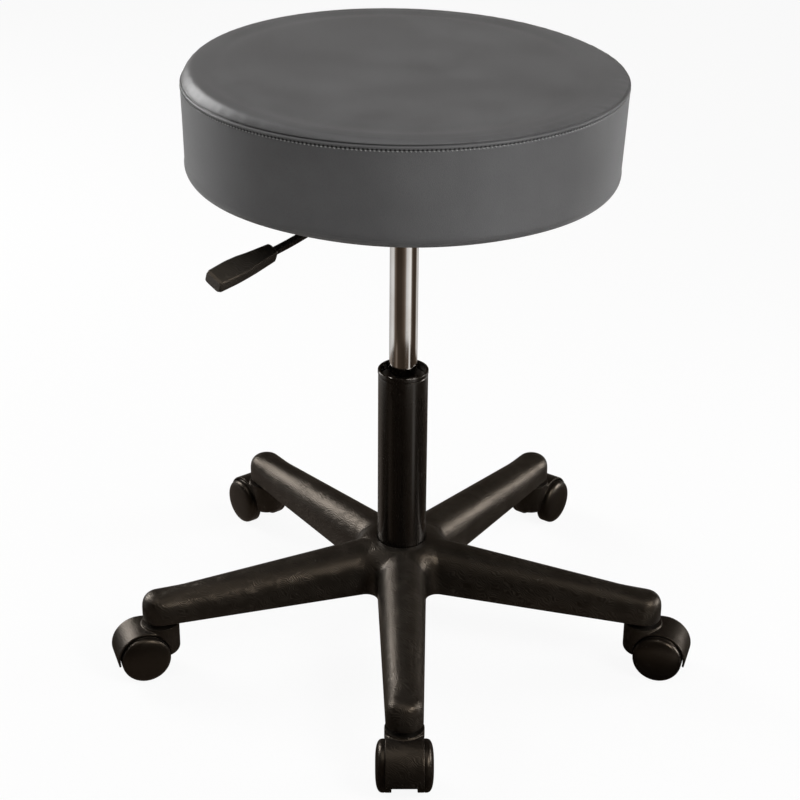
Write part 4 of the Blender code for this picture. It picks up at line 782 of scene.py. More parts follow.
def plate_surface(columns=128):
    """A loop of rings: a square with round corners outside, circles over the well's rounded mouth and floor inside."""
    ray = polar(1.0, around(columns))
    reach = PLATE_HALF - PLATE_CORNER
    diagonal = np.sign(ray) * reach
    along = (ray * diagonal).sum(-1)
    off = (diagonal ** 2).sum(-1) - along ** 2
    straight = PLATE_HALF / np.abs(ray).max(-1)
    corner = along + np.sqrt(np.maximum(PLATE_CORNER ** 2 - off, 0))
    in_corner = (np.abs(ray) * straight[:, None] > reach).all(-1)
    square = np.where(in_corner, np.minimum(corner, straight), straight)[:, None]
    hole, under, floor_top = SOCKET_RADIUS + FIT, PLATE_TOP - PLATE_WALL, WELL_FLOOR + PLATE_WALL
    well = [(WELL_RIM_RADIUS, PLATE_TOP), (WELL_MOUTH_RADIUS, PLATE_TOP), (WELL_FLOOR_RADIUS, floor_top),
            (hole, floor_top), (hole, WELL_FLOOR), (WELL_FLOOR_RADIUS + PLATE_WALL / 2, WELL_FLOOR),
            (WELL_MOUTH_RADIUS + PLATE_WALL, under), (WELL_RIM_RADIUS, under)]
    half = [RIM_ROUNDING, WELL_ROUNDING, WELL_ROUNDING, HOLE_ROUNDING]
    rings = turned(eased(well, np.array(half + half[::-1])[:, None], steps=6), columns)
    edge = ((1.0, 1.0), (PLATE_BULGE, 0.75), (PLATE_BULGE, 0.25), (1.0, 0.0))
    rim = [np.column_stack([grow * square * ray, 0 * square + PLATE_TOP - share * PLATE_WALL]) for grow, share in edge]
    return np.concatenate([rings, rim])


def bolt_surface(columns=48):
    """A hexagon head with its corners turned off below, and a round shank: the radius is the lesser of both shapes."""
    angle = around(columns)
    hexagon = BOLT_HEAD_HALF / np.cos((angle + math.pi / 6) % (math.pi / 3) - math.pi / 6)
    high = PLATE_TOP - PLATE_WALL - FIT
    low = high - BOLT_HEAD_HEIGHT
    chamfer = BOLT_HEAD_HALF * 0.98
    rows = [(0, low), (chamfer, low)]
    rows += [(np.minimum(hexagon, chamfer + out), low + up) for out, up in BOLT_CHAMFER]
    rows += [(hexagon, high - BOLT_EDGE), (BOLT_HEAD_HALF * 1.02, high), (BOLT_RADIUS, high), (BOLT_RADIUS, BOLT_END),
             (0, BOLT_END)]
    return np.stack([round_points(radius + 0 * angle, angle, height) for radius, height in rows])


plate_enamel = enamel("plate_enamel", (0.0075, 0.0070, 0.0066), (0.0130, 0.0120, 0.0112), gloss=(0.26, 0.42))
lever_hole = pin((0, LEVER_HEIGHT), GROMMET_RADIUS + FIT, 40, -LEVER_HOLE_END, -LEVER_HOLE_START)
lever_hole.transform(Matrix.Rotation(math.pi / 2, 4, "Z"))
plate = merged(skin("plate", plate_surface(), join_rows=True), [("DIFFERENCE", lever_hole)])
piece("plate", plate, plate_enamel, "seat", "black_enamel", "seat_plate", at=plate_place, on=leaning)
lip_low, lip_radius, weld_top = WELL_FLOOR + PLATE_WALL + FIT, SOCKET_RADIUS + SOCKET_LIP, WELL_FLOOR - FIT
socket_corners = stepped(TAPER_RADIUS + FIT, SOCKET_TOP, SOCKET_RADIUS, lip_low + LIP_HEIGHT, lip_radius, lip_low,
                         SOCKET_RADIUS, weld_top, SOCKET_RADIUS + WELD_REACH)
socket_corners += [(SOCKET_RADIUS + WELD_BULGE[0], WELL_FLOOR - WELD_BULGE[1]),
                   (SOCKET_RADIUS, WELL_FLOOR - WELD_DROP), (SOCKET_RADIUS, SOCKET_BOTTOM),
                   (SOCKET_BORE, SOCKET_BOTTOM)]
socket_grid = turned(eased(socket_corners, SOCKET_EASE, closed=True), 120)
weld_turn = np.arctan2(socket_grid[..., 1], socket_grid[..., 0])
on_weld = (socket_grid[..., 2] < WELL_FLOOR) & (socket_grid[..., 2] > WELL_FLOOR - 0.0024)
socket_grid[..., :2] *= (1 + on_weld * WELD_RIPPLE * np.sin(WELD_RIPPLES * weld_turn))[..., None]
socket = skin("socket", socket_grid, join_rows=True)
piece("socket", socket, plate_enamel, "seat", "bright_steel", "taper_socket", on=leaning)
bolt_steel = metal("bolt_steel", (0.50, 0.50, 0.52), (0.34, 0.34, 0.35), gloss=(0.28, 0.46))
bolt = skin("bolt", bolt_surface())
for number, (x, y) in enumerate(((-1, -1), (-1, 1), (1, -1), (1, 1)), 1):
    spot = plate_place @ Matrix.Translation((x * BOLT_SPACING / 2, y * BOLT_SPACING / 2, 0))
    piece(f"bolt_{number}", bolt.copy(), bolt_steel, "seat", "bright_steel", f"seat_bolt_{number}", at=spot,
          on=leaning)

# Lever: a bent steel rod, enamelled black, that rocks in a plastic grommet in the wall of the well. Its inner end
# lies over the valve pin, and a moulded paddle is pushed on its outer end.
LEVER_RADIUS, LEVER_OVERRUN, LEVER_LEAD, LEVER_BEND, LEVER_TIP = 0.004, 0.004, 0.005, 0.025, 0.4
LEVER_DIP, LEVER_SWEEP, LEVER_END_SLOPE, LEVER_GRIP = math.radians(19.5), 0.451, math.radians(6.6), 0.032
GROMMET_HALF, GROMMET_EASE = 0.004, 0.0006
HANDLE_LENGTH, HANDLE_ROLL, HANDLE_SQUARENESS = 0.072, math.radians(-22), 0.30
HANDLE_STATIONS = (0.0, 0.03, 0.36, 0.52, 0.70, 0.96, 1.0)
HANDLE_HALF = (0.0056, 0.0068, 0.0088, 0.0106, 0.0112, 0.0102, 0.0090)
HANDLE_ABOVE = (0.0052, 0.0064, 0.0066, 0.0064, 0.0062, 0.0058, 0.0046)
HANDLE_BELOW = (0.0058, 0.0070, 0.0080, 0.0062, 0.0062, 0.0074, 0.0062)
PAD_START, PAD_CREASE, DISH_DEPTH, DISH_START, DISH_BLEND, STATION_BLEND = 0.64, 0.05, 0.0007, 0.03, 0.2, 0.022
FRONT_STOPS, END_START, END_STOPS = (0, 0.008, 0.018), 0.96, (0.975, 0.988, 1.0)
pivot_place = plate_place @ Matrix.Translation((PIVOT_RADIUS, 0, LEVER_HEIGHT))


def lever_line():
    """Centre line in the lever's upright plane: straight over the valve, a tight bend down, a long levelling sweep."""
    bend = arc((LEVER_LEAD, -LEVER_BEND), LEVER_BEND, math.pi / 2, math.pi / 2 - LEVER_DIP, 12)
    centre = bend[-1] + LEVER_SWEEP * np.array([math.sin(LEVER_DIP), math.cos(LEVER_DIP)])
    sweep = arc(centre, LEVER_SWEEP, -math.pi / 2 - LEVER_DIP, -math.pi / 2 - LEVER_END_SLOPE, 24)
    tail = sweep[-1] + LEVER_GRIP * np.array([math.cos(LEVER_END_SLOPE), -math.sin(LEVER_END_SLOPE)])
    inner = np.stack([np.linspace(-PIVOT_RADIUS - LEVER_OVERRUN, 0, 8), np.zeros(8)], -1)
    return np.vstack([inner, bend, sweep[1:], [tail]]), sweep[-1]


def rod_surface(line, radius, columns=28):
    """A circle carried along a line in the (x, z) plane, square to it, with the ends drawn in to rounded tips."""
    ahead = unit(np.gradient(line, axis=0))
    tip = np.linspace(0, math.pi / 2, 5)
    line = np.vstack([line[0] - radius * LEVER_TIP * ahead[0] * np.cos(tip)[:, None], line[1:-1],
                      line[-1] + radius * LEVER_TIP * ahead[-1] * np.sin(tip)[:, None]])
    ahead = np.vstack([np.repeat(ahead[:1], 5, 0), ahead[1:-1], np.repeat(ahead[-1:], 5, 0)])
    size = radius * np.concatenate([np.sin(tip), np.ones(len(line) - 10), np.cos(tip)])[:, None]
    up = size * np.sin(around(columns))
    side = size * np.cos(around(columns))
    return np.dstack([line[:, :1] - ahead[:, 1:] * up, side, line[:, 1:] + ahead[:, :1] * up])


def handle_surface(columns=64, rows=90):
    """The paddle: rounded-rectangle sections whose half width, top and bottom run smoothly from station to station.

    The outer third of the top is a flat finger pad behind a crease; inwards of it the top is slightly hollow.
    """
    share = np.concatenate([FRONT_STOPS, np.linspace(DISH_START, END_START, rows), END_STOPS])
    blend = np.exp(-((share[:, None] - share[None]) / STATION_BLEND) ** 2)
    blend[(share <= DISH_START) | (share >= END_START)] = 0
    blend += np.eye(len(share)) * (blend.sum(1) == 0)
    blend /= blend.sum(1, keepdims=True)
    width, top, bottom = ((blend @ np.interp(share, HANDLE_STATIONS, values))[:, None]
                          for values in (HANDLE_HALF, HANDLE_ABOVE, HANDLE_BELOW))
    dish = np.clip((PAD_START - share) / PAD_CREASE, 0, 1) * np.clip((share - DISH_START) / DISH_BLEND, 0, 1)
    section = polar(1, around(columns) + math.pi / columns)
    y, z = (np.sign(section) * np.abs(section) ** HANDLE_SQUARENESS).T
    height = np.where(z > 0, top * z, bottom * z) - DISH_DEPTH * dish[:, None] * (z > 0) * (1 - y ** 2)
    grid = np.dstack([share[:, None] * HANDLE_LENGTH + 0 * y, width * y, height])
    first, last = (np.repeat(grid[k:k + 1].mean(1, keepdims=True), columns, 1) for k in (0, len(grid) - 1))
    return np.concatenate([first, grid, last])


line, mouth = lever_line()
lever_enamel = enamel("lever_enamel", (0.0048, 0.0042, 0.0038), (0.0080, 0.0070, 0.0062), gloss=(0.14, 0.24))
rod = skin("lever", rod_surface(line, LEVER_RADIUS))
piece("lever", rod, lever_enamel, "lever", "black_enamel", "lever_rod", at=pivot_place, on=leaning)
handle_plastic = nylon("handle_plastic", (0.0108, 0.0096, 0.0080), (0.0190, 0.0168, 0.0140), gloss=(0.30, 0.42),
                       bump=0.14, curl_share=0.2, grain_scale=1100.0)
handle_place = (pivot_place @ Matrix.Translation((mouth[0], 0, mouth[1])) @ Matrix.Rotation(LEVER_END_SLOPE, 4, "Y")
                @ Matrix.Rotation(HANDLE_ROLL, 4, "X"))
handle = skin("handle", handle_surface())
piece("handle", handle, handle_plastic, "lever", "handle_plastic", "lever_handle", at=handle_place, on=leaning)
grommet_corners = stepped(GROMMET_BORE, GROMMET_HALF, GROMMET_RADIUS, -GROMMET_HALF, GROMMET_BORE)
grommet = lathe("grommet", grommet_corners, GROMMET_EASE, 48, closed=True)
piece("grommet", grommet, handle_plastic, "seat", "handle_plastic", "lever_grommet",
      at=pivot_place @ Matrix.Rotation(math.pi / 2, 4, "Y"), on=leaning)

# Seat board: a round of birch plywood under the foam, hidden by the cover and the dust cloth. With the cushion it is
# bolted on a few millimetres off the plate's middle.
BOARD_RADIUS, BOARD_LOW, BOARD_HIGH, BOARD_EASE = 0.186, 0.5147, 0.5267, 0.0010
CUSHION_SHIFT = -0.003
cushioned = Matrix.Translation((CUSHION_SHIFT, 0, 0)) @ leaning
board_ply, board_tree, board_shader = coated("birch_ply", {"Roughness": 0.7})
bands = {"Vector": place_of(board_tree), "Scale": 110.0, "Distortion": 1.5}
plies = node(board_tree, "TexWave", bands, bands_direction="Z").outputs[1]
drawn = node(board_tree, "Mapping", {"Vector": place_of(board_tree), "Scale": (1, 0.08, 1)}).outputs[0]
fibre = noise(board_tree, 180.0, 4.0, drawn)
board_colour = mixed(board_tree, ranged(board_tree, plies, 0, 1), (0.42, 0.27, 0.14), (0.62, 0.45, 0.27))
board_colour = mixed(board_tree, times(board_tree, fibre, 0.4), board_colour, (0.30, 0.18, 0.09))
feed(board_tree, board_shader, board_colour, ranged(board_tree, fibre, 0.55, 0.85), fibre, 0.2, 0.0003)
board = lathe("board", stepped(0, BOARD_LOW, BOARD_RADIUS, BOARD_HIGH, 0), BOARD_EASE, 128)
piece("board", board, board_ply, "seat", "plywood", "seat_board", on=cushioned)

# Seat cover: grey coated leather over a foam round. A top panel with a rolled edge is sewn to a side band, and the
# band is drawn over the board's edge and turned in below. Pressure from the foam is simulated as cloth.
TOP_RADIUS, SEAM_Z, SEAT_BOTTOM = 0.2065, 0.6041, 0.5124
TOP_Z, TOP_CROWN, ROLL_WIDTH, ROLL_POWER, ROLL_SHIFT = 0.6137, 0.0004, 0.0185, 2.5, (-0.0047, -0.0080)
EDGE_DIP, DIP_RADIUS, DIP_WIDTH = 0.0011, 0.1735, 0.0095
BAND_RADIUS, BAND_FOOT, BAND_ROUNDING, WRAP_RADIUS, WRAP_DEPTH = 0.2076, 0.2052, 0.0125, 0.164, 0.0022
SIDE_FULLNESS, TILT_START = 0.004, 0.556
CREASE_DEPTH, STITCH_DEPTH, STRIP_PUFF, SEAM_EASE, WRAP_EASE = 0.0020, 0.0009, 0.0003, 0.0009, 0.0006
STITCH_HALF, CREASE_HALF, LIP_RISE, SEAM_TILT_X, SEAM_TILT_Y = 0.0014, 0.0011, 0.0010, 0.0041, -0.0053
COVER_SPACING, SEAM_SPACING, SEAM_REACH = 0.0042, 0.0007, 0.012
COVER_COLUMNS, CLOTH_COLUMNS, CLOTH_SPACING, CLOTH_FRAMES = 432, 144, 0.0075, 20
SWELL_LIMIT, SWELL_WAVES = 0.0010, 24
HELD_ABOVE, HELD_BELOW, HELD_FOOT = 0.020, 0.010, 0.004
PUCKER_TOP, PUCKER_BAND, PUCKER_GAP, PUCKER_WIDTH = 0.00034, 0.00012, 0.006, 0.007
SWAY_TOP, SWAY_BAND, SWAY_GAP, SWAY_RADIUS, PLEAT_DEPTH, PLEAT_WIDTH = 0.0005, 0.0006, 0.05, 0.16, 0.0005, 0.016
STITCHES, STITCH_Z, STITCH_LEAD, HOLE_RISE = 340, SEAM_Z - 0.0042, 0.0040, 0.0006
PANEL_IN, PANEL_UP, PANEL_START, CREASE_SHADE, CLOTH_HOLE = 0.0012, 0.0009, 0.0008, 0.0010, 0.0006
TILT_END, MARGIN = STITCH_Z - 0.006, 0.001
LEATHER_DARK, LEATHER_LIGHT, FURROW_GREY = (0.104, 0.104, 0.106), (0.134, 0.134, 0.136), (0.067, 0.067, 0.068)


def roll_share(radius):
    """How far a radius lies across the top panel's rolled edge: 0 on the flat middle, 1 at the seam."""
    return np.clip((radius - TOP_RADIUS + ROLL_WIDTH) / ROLL_WIDTH, 0, 1)


def seam_tilt(angle):
    """Height of the sewn seam over its mean: it sits a few millimetres low at the back and left, as sewn by hand."""
    return SEAM_TILT_X * np.cos(angle) + SEAM_TILT_Y * np.sin(angle)


def bell(values, middle, width):
    """A bell curve: e to the power of minus the square of the way from its middle, in widths."""
    return np.exp(-((values - middle) / width) ** 2)


def cover_profile():
    """The cover's section from the middle of its underside round to the middle of its top, as (radius, height) rows.

    The top is a low crown with a shallow bell-shaped dip inside the rolled edge, less a power of the way across
    that edge, which falls to the seam.
    """
    roof, foot_start = SEAT_BOTTOM + WRAP_DEPTH, BAND_FOOT - BAND_ROUNDING
    below = eased(stepped(0, roof, WRAP_RADIUS, SEAT_BOTTOM, foot_start), WRAP_EASE)
    foot = arc((foot_start, SEAT_BOTTOM + BAND_ROUNDING), BAND_ROUNDING, -math.pi / 2, 0, 16)
    strip, lip = BAND_RADIUS + STRIP_PUFF, SEAM_Z + LIP_RISE
    crease = eased([(BAND_RADIUS, STITCH_Z - STITCH_LEAD), (BAND_RADIUS, STITCH_Z - STITCH_HALF),
                    (BAND_RADIUS - STITCH_DEPTH, STITCH_Z), (strip, STITCH_Z + STITCH_HALF),
                    (strip, SEAM_Z - CREASE_HALF), (BAND_RADIUS - CREASE_DEPTH, SEAM_Z), (TOP_RADIUS, lip),
                    (TOP_RADIUS - PANEL_IN, lip + PANEL_UP)], SEAM_EASE, steps=6)[1:-1]
    reach = (TOP_RADIUS - LIP_RISE) * (1 - np.linspace(0, 1, 90) ** 1.5)
    fall = (TOP_Z - lip) * roll_share(reach) ** ROLL_POWER + EDGE_DIP * bell(reach, DIP_RADIUS, DIP_WIDTH)
    top = np.stack([reach, TOP_Z + TOP_CROWN * (1 - (reach / TOP_RADIUS) ** 2) - fall], -1)
    dense = resampled(np.vstack([below[:-1], foot, crease, top]), COVER_SPACING)
    near = (dense[:, 0] > BAND_FOOT - SEAM_REACH / 3) & (np.abs(dense[:, 1] - SEAM_Z) < SEAM_REACH)
    first, last = np.flatnonzero(near)[[0, -1]]
    return np.vstack([dense[:first], resampled(dense[first:last + 1], SEAM_SPACING), dense[last + 1:]])


def outward_of(profile):
    """Unit normals of a profile that runs up on the outside, as (radius, height) rows."""
    slope = np.gradient(profile, axis=0)
    length = np.maximum(np.linalg.norm(slope, axis=1, keepdims=True), 1e-9)
    return np.stack([slope[:, 1], -slope[:, 0]], -1) / length


def swelling(profile):
    """How far the cover swells at each row and column: outward push of a simulated coarse copy, held at the seam.

    The coarse copy is pinned along the seam, the rolled edge and under the board; its movement across the surface
    is capped, then spread to the fine rows by straight and to the fine columns by Fourier interpolation.
    """
    run = run_of(profile)
    stops = np.linspace(0, run[-1], int(run[-1] / CLOTH_SPACING))
    coarse = at_stops(profile, stops)
    normal = outward_of(coarse)
    seam_gap = np.hypot(coarse[:, 0] - TOP_RADIUS, coarse[:, 1] - SEAM_Z)
    held = seam_gap < np.where(coarse[:, 1] > SEAM_Z, HELD_ABOVE, HELD_BELOW)
    held |= coarse[:, 1] < SEAT_BOTTOM + HELD_FOOT
    coarse[[0, -1], 0] = CLOTH_HOLE
    grid = turned(coarse, CLOTH_COLUMNS)
    index = np.arange(grid[..., 0].size).reshape(grid.shape[:2])
    quads = quads_of(np.column_stack([index, index[:, :1]])).reshape(-1, 4)
    mesh = bpy.data.meshes.new("cover_cloth")
    mesh.from_pydata(grid.reshape(-1, 3).tolist(), [], quads.tolist() + [index[0, ::-1].tolist(), index[-1].tolist()])
    item = shown("cover_cloth", mesh)
    item.vertex_groups.new(name="held").add(index[held].ravel().tolist(), 1.0, "REPLACE")
    cloth = modify(item, "CLOTH")
    assign(cloth.settings, {"vertex_group_mass": "held", "use_pressure": True, "uniform_pressure_force": 4.0,
                            "tension_stiffness": 20, "compression_stiffness": 20, "bending_stiffness": 2.0})
    cloth.settings.effector_weights.gravity = 0.0
    assign(cloth.point_cache, {"frame_start": 1, "frame_end": CLOTH_FRAMES})
    for number in range(1, CLOTH_FRAMES + 1):
        scene.frame_set(number)
    moved = np.empty(grid.size, np.float32)
    evaluated = item.evaluated_get(bpy.context.evaluated_depsgraph_get())
    evaluated.data.vertices.foreach_get("co", moved)
    scene.frame_set(1)
    bpy.data.objects.remove(item, do_unlink=True)
    move = moved.reshape(grid.shape) - grid
    radial = (move[..., :2] * polar(1, around(CLOTH_COLUMNS))).sum(-1)
    push = radial * normal[:, :1] + move[..., 2] * normal[:, 1:]
    push = np.where(held[:, None], 0, SWELL_LIMIT * np.tanh(push / SWELL_LIMIT))
    waves = np.fft.rfft(push, axis=1)[:, :SWELL_WAVES] * (COVER_COLUMNS / CLOTH_COLUMNS)
    fine = np.fft.irfft(waves, COVER_COLUMNS, axis=1)
    low = np.clip(np.searchsorted(stops, run) - 1, 0, len(stops) - 2)
    share = ((run - stops[low]) / (stops[low + 1] - stops[low]))[:, None]
    return fine[low] * (1 - share) + fine[low + 1] * share


def waves_round(angle, counts, seed):
    """A wavy line round the seat from 1 down to -1: sines of the given counts with seeded sizes and phases."""
    draw = np.random.default_rng(seed)
    size = draw.uniform(0.5, 1.0, len(counts))
    phase = draw.uniform(0, 2 * math.pi, len(counts))
    return (size * np.sin(np.outer(angle, counts) + phase)).sum(1) / size.sum()


def cover_surface():
    """The cover: profile turned about the column, swollen, puckered at the seam and pleated where it is stapled.

    Its foot is fuller at the sides than in front. Last, the seam's tilt is added, fading out down the band and
    across the rolled edge, and the flat of the top moves a little to the front and left.
    """
    profile = cover_profile()
    radius, height = profile.T
    grid, angle, normal = turned(profile, COVER_COLUMNS), around(COVER_COLUMNS), outward_of(profile)
    push = swelling(profile)
    gap = np.hypot(radius - TOP_RADIUS, height - SEAM_Z)
    on_top = height > SEAM_Z + PANEL_START
    pucker = bell(gap, PUCKER_GAP, PUCKER_WIDTH) * np.where(on_top, PUCKER_TOP, PUCKER_BAND)
    push += pucker[:, None] * waves_round(angle, (41, 57, 67, 83, 97, 109), 3)
    sway = np.clip(gap / SWAY_GAP, 0, 1) * np.clip(radius / SWAY_RADIUS, 0, 1) ** 2
    sway *= np.where(on_top, SWAY_TOP, SWAY_BAND)
    push += sway[:, None] * waves_round(angle, (2, 3, 5, 7), 5)
    pleats = bell(radius, WRAP_RADIUS, PLEAT_WIDTH) * (height < SEAT_BOTTOM + MARGIN)
    push -= PLEAT_DEPTH * pleats[:, None] * (1 + waves_round(angle, (37, 53, 61, 74), 8))
    corner = (height < SEAT_BOTTOM + BAND_ROUNDING + MARGIN) & (radius > BAND_FOOT - BAND_ROUNDING - MARGIN)
    push += SIDE_FULLNESS * (corner * (np.abs(normal).sum(1) - 1))[:, None] * np.cos(2 * angle)
    rise = np.clip((height - TILT_START) / (TILT_END - TILT_START), 0, 1)
    across = np.where(on_top, roll_share(radius), 1)
    tilted = np.where(on_top, across ** ROLL_POWER, rise ** 2 * (3 - 2 * rise))
    grid[..., :2] += (push * normal[:, :1])[..., None] * polar(1, angle) + (1 - across)[:, None, None] * ROLL_SHIFT
    grid[..., 2] += push * normal[:, 1:] + tilted[:, None] * seam_tilt(angle)
    return grid


def leather_grain():
    """Coated leather: rounded pebbles between fine furrows, small creases, and broad soft patches of tone."""
    tree, given = group("leather_grain", {"Pebble Scale": 620})
    bent = node(tree, "TexNoise", {"Vector": place_of(tree), "Scale": 160.0, "Detail": 2.0}).outputs[1]
    bent = node(tree, "VectorMath", {0: bent, "Scale": 0.002}, operation="SCALE").outputs[0]
    shifted = node(tree, "VectorMath", {0: place_of(tree), 1: bent}, operation="ADD").outputs[0]
    cells = {"Vector": shifted, "Scale": given["Pebble Scale"]}
    pebbles = node(tree, "TexVoronoi", cells, feature="DISTANCE_TO_EDGE").outputs[0]
    pebbles = ranged(tree, pebbles, 0, 1, 0.0, 0.16)
    height = blended(tree, pebbles, 0.7, noise(tree, 1500.0, 2.0), 0.3)
    return put_out(tree, Height=height, Patches=noise(tree, 13.0, 3.0, Roughness=0.55), Pebbles=pebbles)


def cover_leather():
    """Grey leather with painted shade: dark in the seam's crease and in the dented needle hole at each end of every
    stitch.
    """
    paint, tree, shader = coated("grey_leather", {"Specular IOR Level": 0.42, "Sheen Weight": 0.06,
                                                  "Sheen Roughness": 0.5})
    grain = node(tree, "Group", node_tree=leather_group).outputs
    body = mixed(tree, ranged(tree, grain["Patches"], 0, 1, 0.3, 0.7), LEATHER_DARK, LEATHER_LIGHT)
    body = mixed(tree, ranged(tree, grain["Pebbles"], 0.22, 0), body, FURROW_GREY)
    # Painted shade: a near-black dot at each needle hole, where shade falls into the hole. The hole is also dented by
    # the bump further down.
    sewn = node(tree, "Attribute", attribute_name="sewn").outputs["Vector"]
    x, y, z = node(tree, "SeparateXYZ", {0: sewn}).outputs
    turn = times(tree, maths(tree, "ARCTAN2", y, x), STITCHES / (2 * math.pi))
    off = maths(tree, "SUBTRACT", maths(tree, "FRACT", maths(tree, "ADD", turn, 0.5)), 0.5)
    across = times(tree, off, 2 * math.pi * BAND_RADIUS / STITCHES)
    above = maths(tree, "SUBTRACT", z, HOLE_RISE)
    squares = maths(tree, "ADD", maths(tree, "POWER", across, 2.0), maths(tree, "POWER", above, 2.0))
    hole = ranged(tree, maths(tree, "SQRT", squares), 1, 0, 0.0008, 0.0013)
    body = mixed(tree, times(tree, hole, 0.92), body, (0.006, 0.006, 0.006))
    # Painted shade: the leather's colour is darkened along the seam's crease by the mask made with the cover.
    crease = node(tree, "Attribute", attribute_name="crease").outputs["Fac"]
    body = mixed(tree, times(tree, crease, 0.55), body, (0.010, 0.010, 0.010))
    height = maths(tree, "SUBTRACT", grain["Height"], times(tree, hole, 2.5))
    feed(tree, shader, body, ranged(tree, grain["Patches"], 0.36, 0.47, 0.3, 0.7), height, 0.22, 0.00035)
    return paint


leather_group = leather_grain()
cover = skin("seat_cover", cover_surface())
points = np.empty(len(cover.vertices) * 3, np.float32)
cover.vertices.foreach_get("co", points)
points = points.reshape(-1, 3)
points[:, 2] -= seam_tilt(np.arctan2(points[:, 1], points[:, 0])) + STITCH_Z
cover.attributes.new("sewn", "FLOAT_VECTOR", "POINT").data.foreach_set("vector", points.ravel())
# Painted shade: a mask that darkens the leather's colour along the seam's crease. The groove itself is modelled, and
# its darkness is painted.
crease_radius = np.hypot(points[:, 0], points[:, 1]) - BAND_RADIUS + CREASE_DEPTH
seam_gap = np.hypot(crease_radius, points[:, 2] - SEAM_Z + STITCH_Z)
painted_crease_shade = np.clip(1.5 - seam_gap / CREASE_SHADE, 0, 1).astype(np.float32)
cover.attributes.new("crease", "FLOAT", "POINT").data.foreach_set("value", painted_crease_shade)
cushion = piece("seat_cover", cover, cover_leather(), "seat", "grey_leather", "cover_top", "cover_band", "seat_foam",
                on=cushioned)

# Stitching: one row of heavy polyester thread along the top of the side band, each stitch a short slanted arch
# between two needle holes.
THREAD_RADIUS, STITCH_SLANT, STITCH_RISE, STITCH_DROP = 0.0006, 0.0002, 0.0009, 0.0006
STITCH_START, STITCH_END, STITCH_ROWS, THREAD_SIDES = 0.24, 0.76, 7, 6


def strands(name, grid):
    """Closed strands: one for each first index of a grid (strands, rows, sides, 3), with both ends closed."""
    index = np.arange(grid[..., 0].size).reshape(grid.shape[:3])
    quads = quads_of(np.concatenate([index, index[..., :1]], -1)).reshape(-1, 4)
    return mesh_of(name, grid, quads.tolist() + index[:, [0, -1]].reshape(-1, index.shape[2]).tolist())


def stitch_surfaces():
    """All stitches at once: a six-sided thread carried along a low arch, repeated at every pitch round the band."""
    along = np.linspace(STITCH_START, STITCH_END, STITCH_ROWS)[:, None]
    turn = around(STITCHES)[:, None, None] + 2 * math.pi / STITCHES * along
    thick = THREAD_RADIUS * np.sqrt(np.sin(math.pi * np.linspace(0.03, 0.97, STITCH_ROWS)))[:, None]
    thread = around(THREAD_SIDES)
    radius = BAND_RADIUS - STITCH_DEPTH + STITCH_RISE * np.sin(math.pi * along) + thick * np.cos(thread)
    height = STITCH_Z - STITCH_DROP + STITCH_SLANT * np.cos(math.pi * along) + thick * np.sin(thread)
    return round_points(radius, turn, height + seam_tilt(turn))


thread_paint, thread_tree, thread_shader = coated("grey_thread", {"Roughness": 0.6, "Sheen Weight": 0.2})
twists = {"Vector": place_of(thread_tree), "Scale": 900.0, "Distortion": 2.0}
twist = node(thread_tree, "TexWave", twists, bands_direction="DIAGONAL").outputs[1]
feed(thread_tree, thread_shader, mixed(thread_tree, twist, (0.20, 0.20, 0.197), (0.32, 0.32, 0.314)),
     ranged(thread_tree, twist, 0.38, 0.55), twist, 0.4, 0.0002)
piece("stitching", strands("stitching", stitch_surfaces()), thread_paint, "seat", "grey_leather", on=cushioned)

# Dust cloth: black non-woven cloth that closes the underside inside the turned-in cover, held by wire staples
# through the leather into the board.
CLOTH_RADIUS, CLOTH_Z, CLOTH_THICKNESS, CLOTH_RIPPLE = 0.1637, SEAT_BOTTOM + 0.0012, 0.0006, 0.0003
STAPLES, STAPLE_CIRCLE, STAPLE_LENGTH, STAPLE_WIDTH, STAPLE_THICKNESS = 56, 0.1700, 0.0100, 0.0009, 0.0005
STAPLE_Z, STAPLE_STRAY, STAPLE_TWIST = SEAT_BOTTOM - 0.0006, 0.012, 0.25


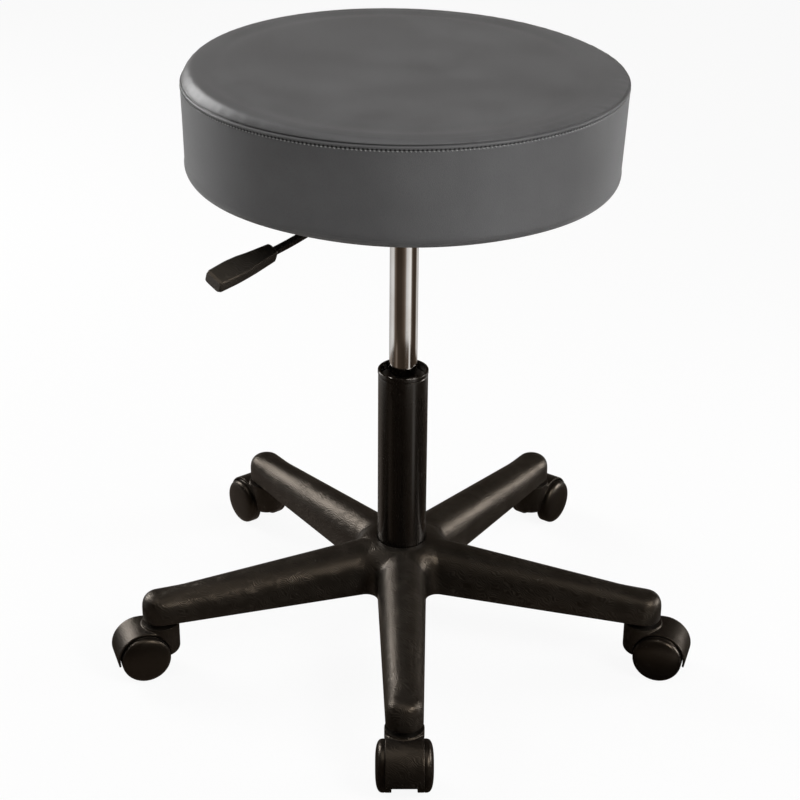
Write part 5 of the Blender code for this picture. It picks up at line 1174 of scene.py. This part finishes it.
def dust_surface(rows=40, columns=160):
    """A flat round that ripples a little between its fixed rim and the plate: two faces a cloth's thickness apart."""
    share = np.linspace(0, 1, rows)
    ripple = CLOTH_RIPPLE * np.sin(math.pi * np.clip((share - 0.55) / 0.4, 0, 1))[:, None]
    flat = turned(np.stack([CLOTH_RADIUS * share, 0 * share + CLOTH_Z], -1), columns)
    flat[..., 2] += ripple * waves_round(around(columns), (9, 14, 23), 4)
    return np.concatenate([flat, flat[::-1] - [0, 0, CLOTH_THICKNESS]])


def staple_surfaces():
    """Wire staples lying round the rim at slightly uneven angles: a flat wire carried over a low bridge."""
    draw = np.random.default_rng(11)
    turn = (around(STAPLES) + draw.uniform(-STAPLE_STRAY, STAPLE_STRAY, STAPLES))[:, None, None]
    twist = draw.uniform(-STAPLE_TWIST, STAPLE_TWIST, STAPLES)[:, None, None]
    along = np.array([-0.5, -0.5, -0.47, -0.40, 0.40, 0.47, 0.5, 0.5])[:, None] * STAPLE_LENGTH
    sunk = np.array([0.0012, 0.0, -0.0003, -0.0004, -0.0004, -0.0003, 0.0, 0.0012])[:, None]
    wire = np.array([(-0.5, 0.5), (0.5, 0.5), (0.5, -0.5), (-0.5, -0.5)]) * [STAPLE_WIDTH, STAPLE_THICKNESS]
    across = along * np.cos(twist) - wire[:, 0] * np.sin(twist)
    outward = STAPLE_CIRCLE + along * np.sin(twist) + wire[:, 0] * np.cos(twist)
    return np.stack([outward * np.cos(turn) - across * np.sin(turn), outward * np.sin(turn) + across * np.cos(turn),
                     STAPLE_Z + sunk + wire[:, 1] + 0 * across], -1)


dust_paint, dust_tree, dust_shader = coated("dust_cloth", {"Sheen Weight": 0.15, "Sheen Roughness": 0.6})
fleece = noise(dust_tree, 420.0, 5.0, Distortion=1.2)
weld_dots = node(dust_tree, "TexVoronoi", {"Vector": place_of(dust_tree), "Scale": 330.0}).outputs["Distance"]
dots = ranged(dust_tree, weld_dots, 1, 0, 0.12, 0.3)
dust_colour = mixed(dust_tree, fleece, (0.010, 0.010, 0.011), (0.030, 0.030, 0.032))
dust_height = maths(dust_tree, "SUBTRACT", fleece, times(dust_tree, dots, 0.6))
feed(dust_tree, dust_shader, dust_colour, ranged(dust_tree, dots, 0.95, 0.7), dust_height, 0.35, 0.0004)
dust = piece("dust_cloth", skin("dust_cloth", dust_surface()), dust_paint, "seat", "black_cloth", "dust_cover",
             on=cushioned)
piece("staples", strands("staples", staple_surfaces()), bolt_steel, "seat", "bright_steel", on=cushioned)
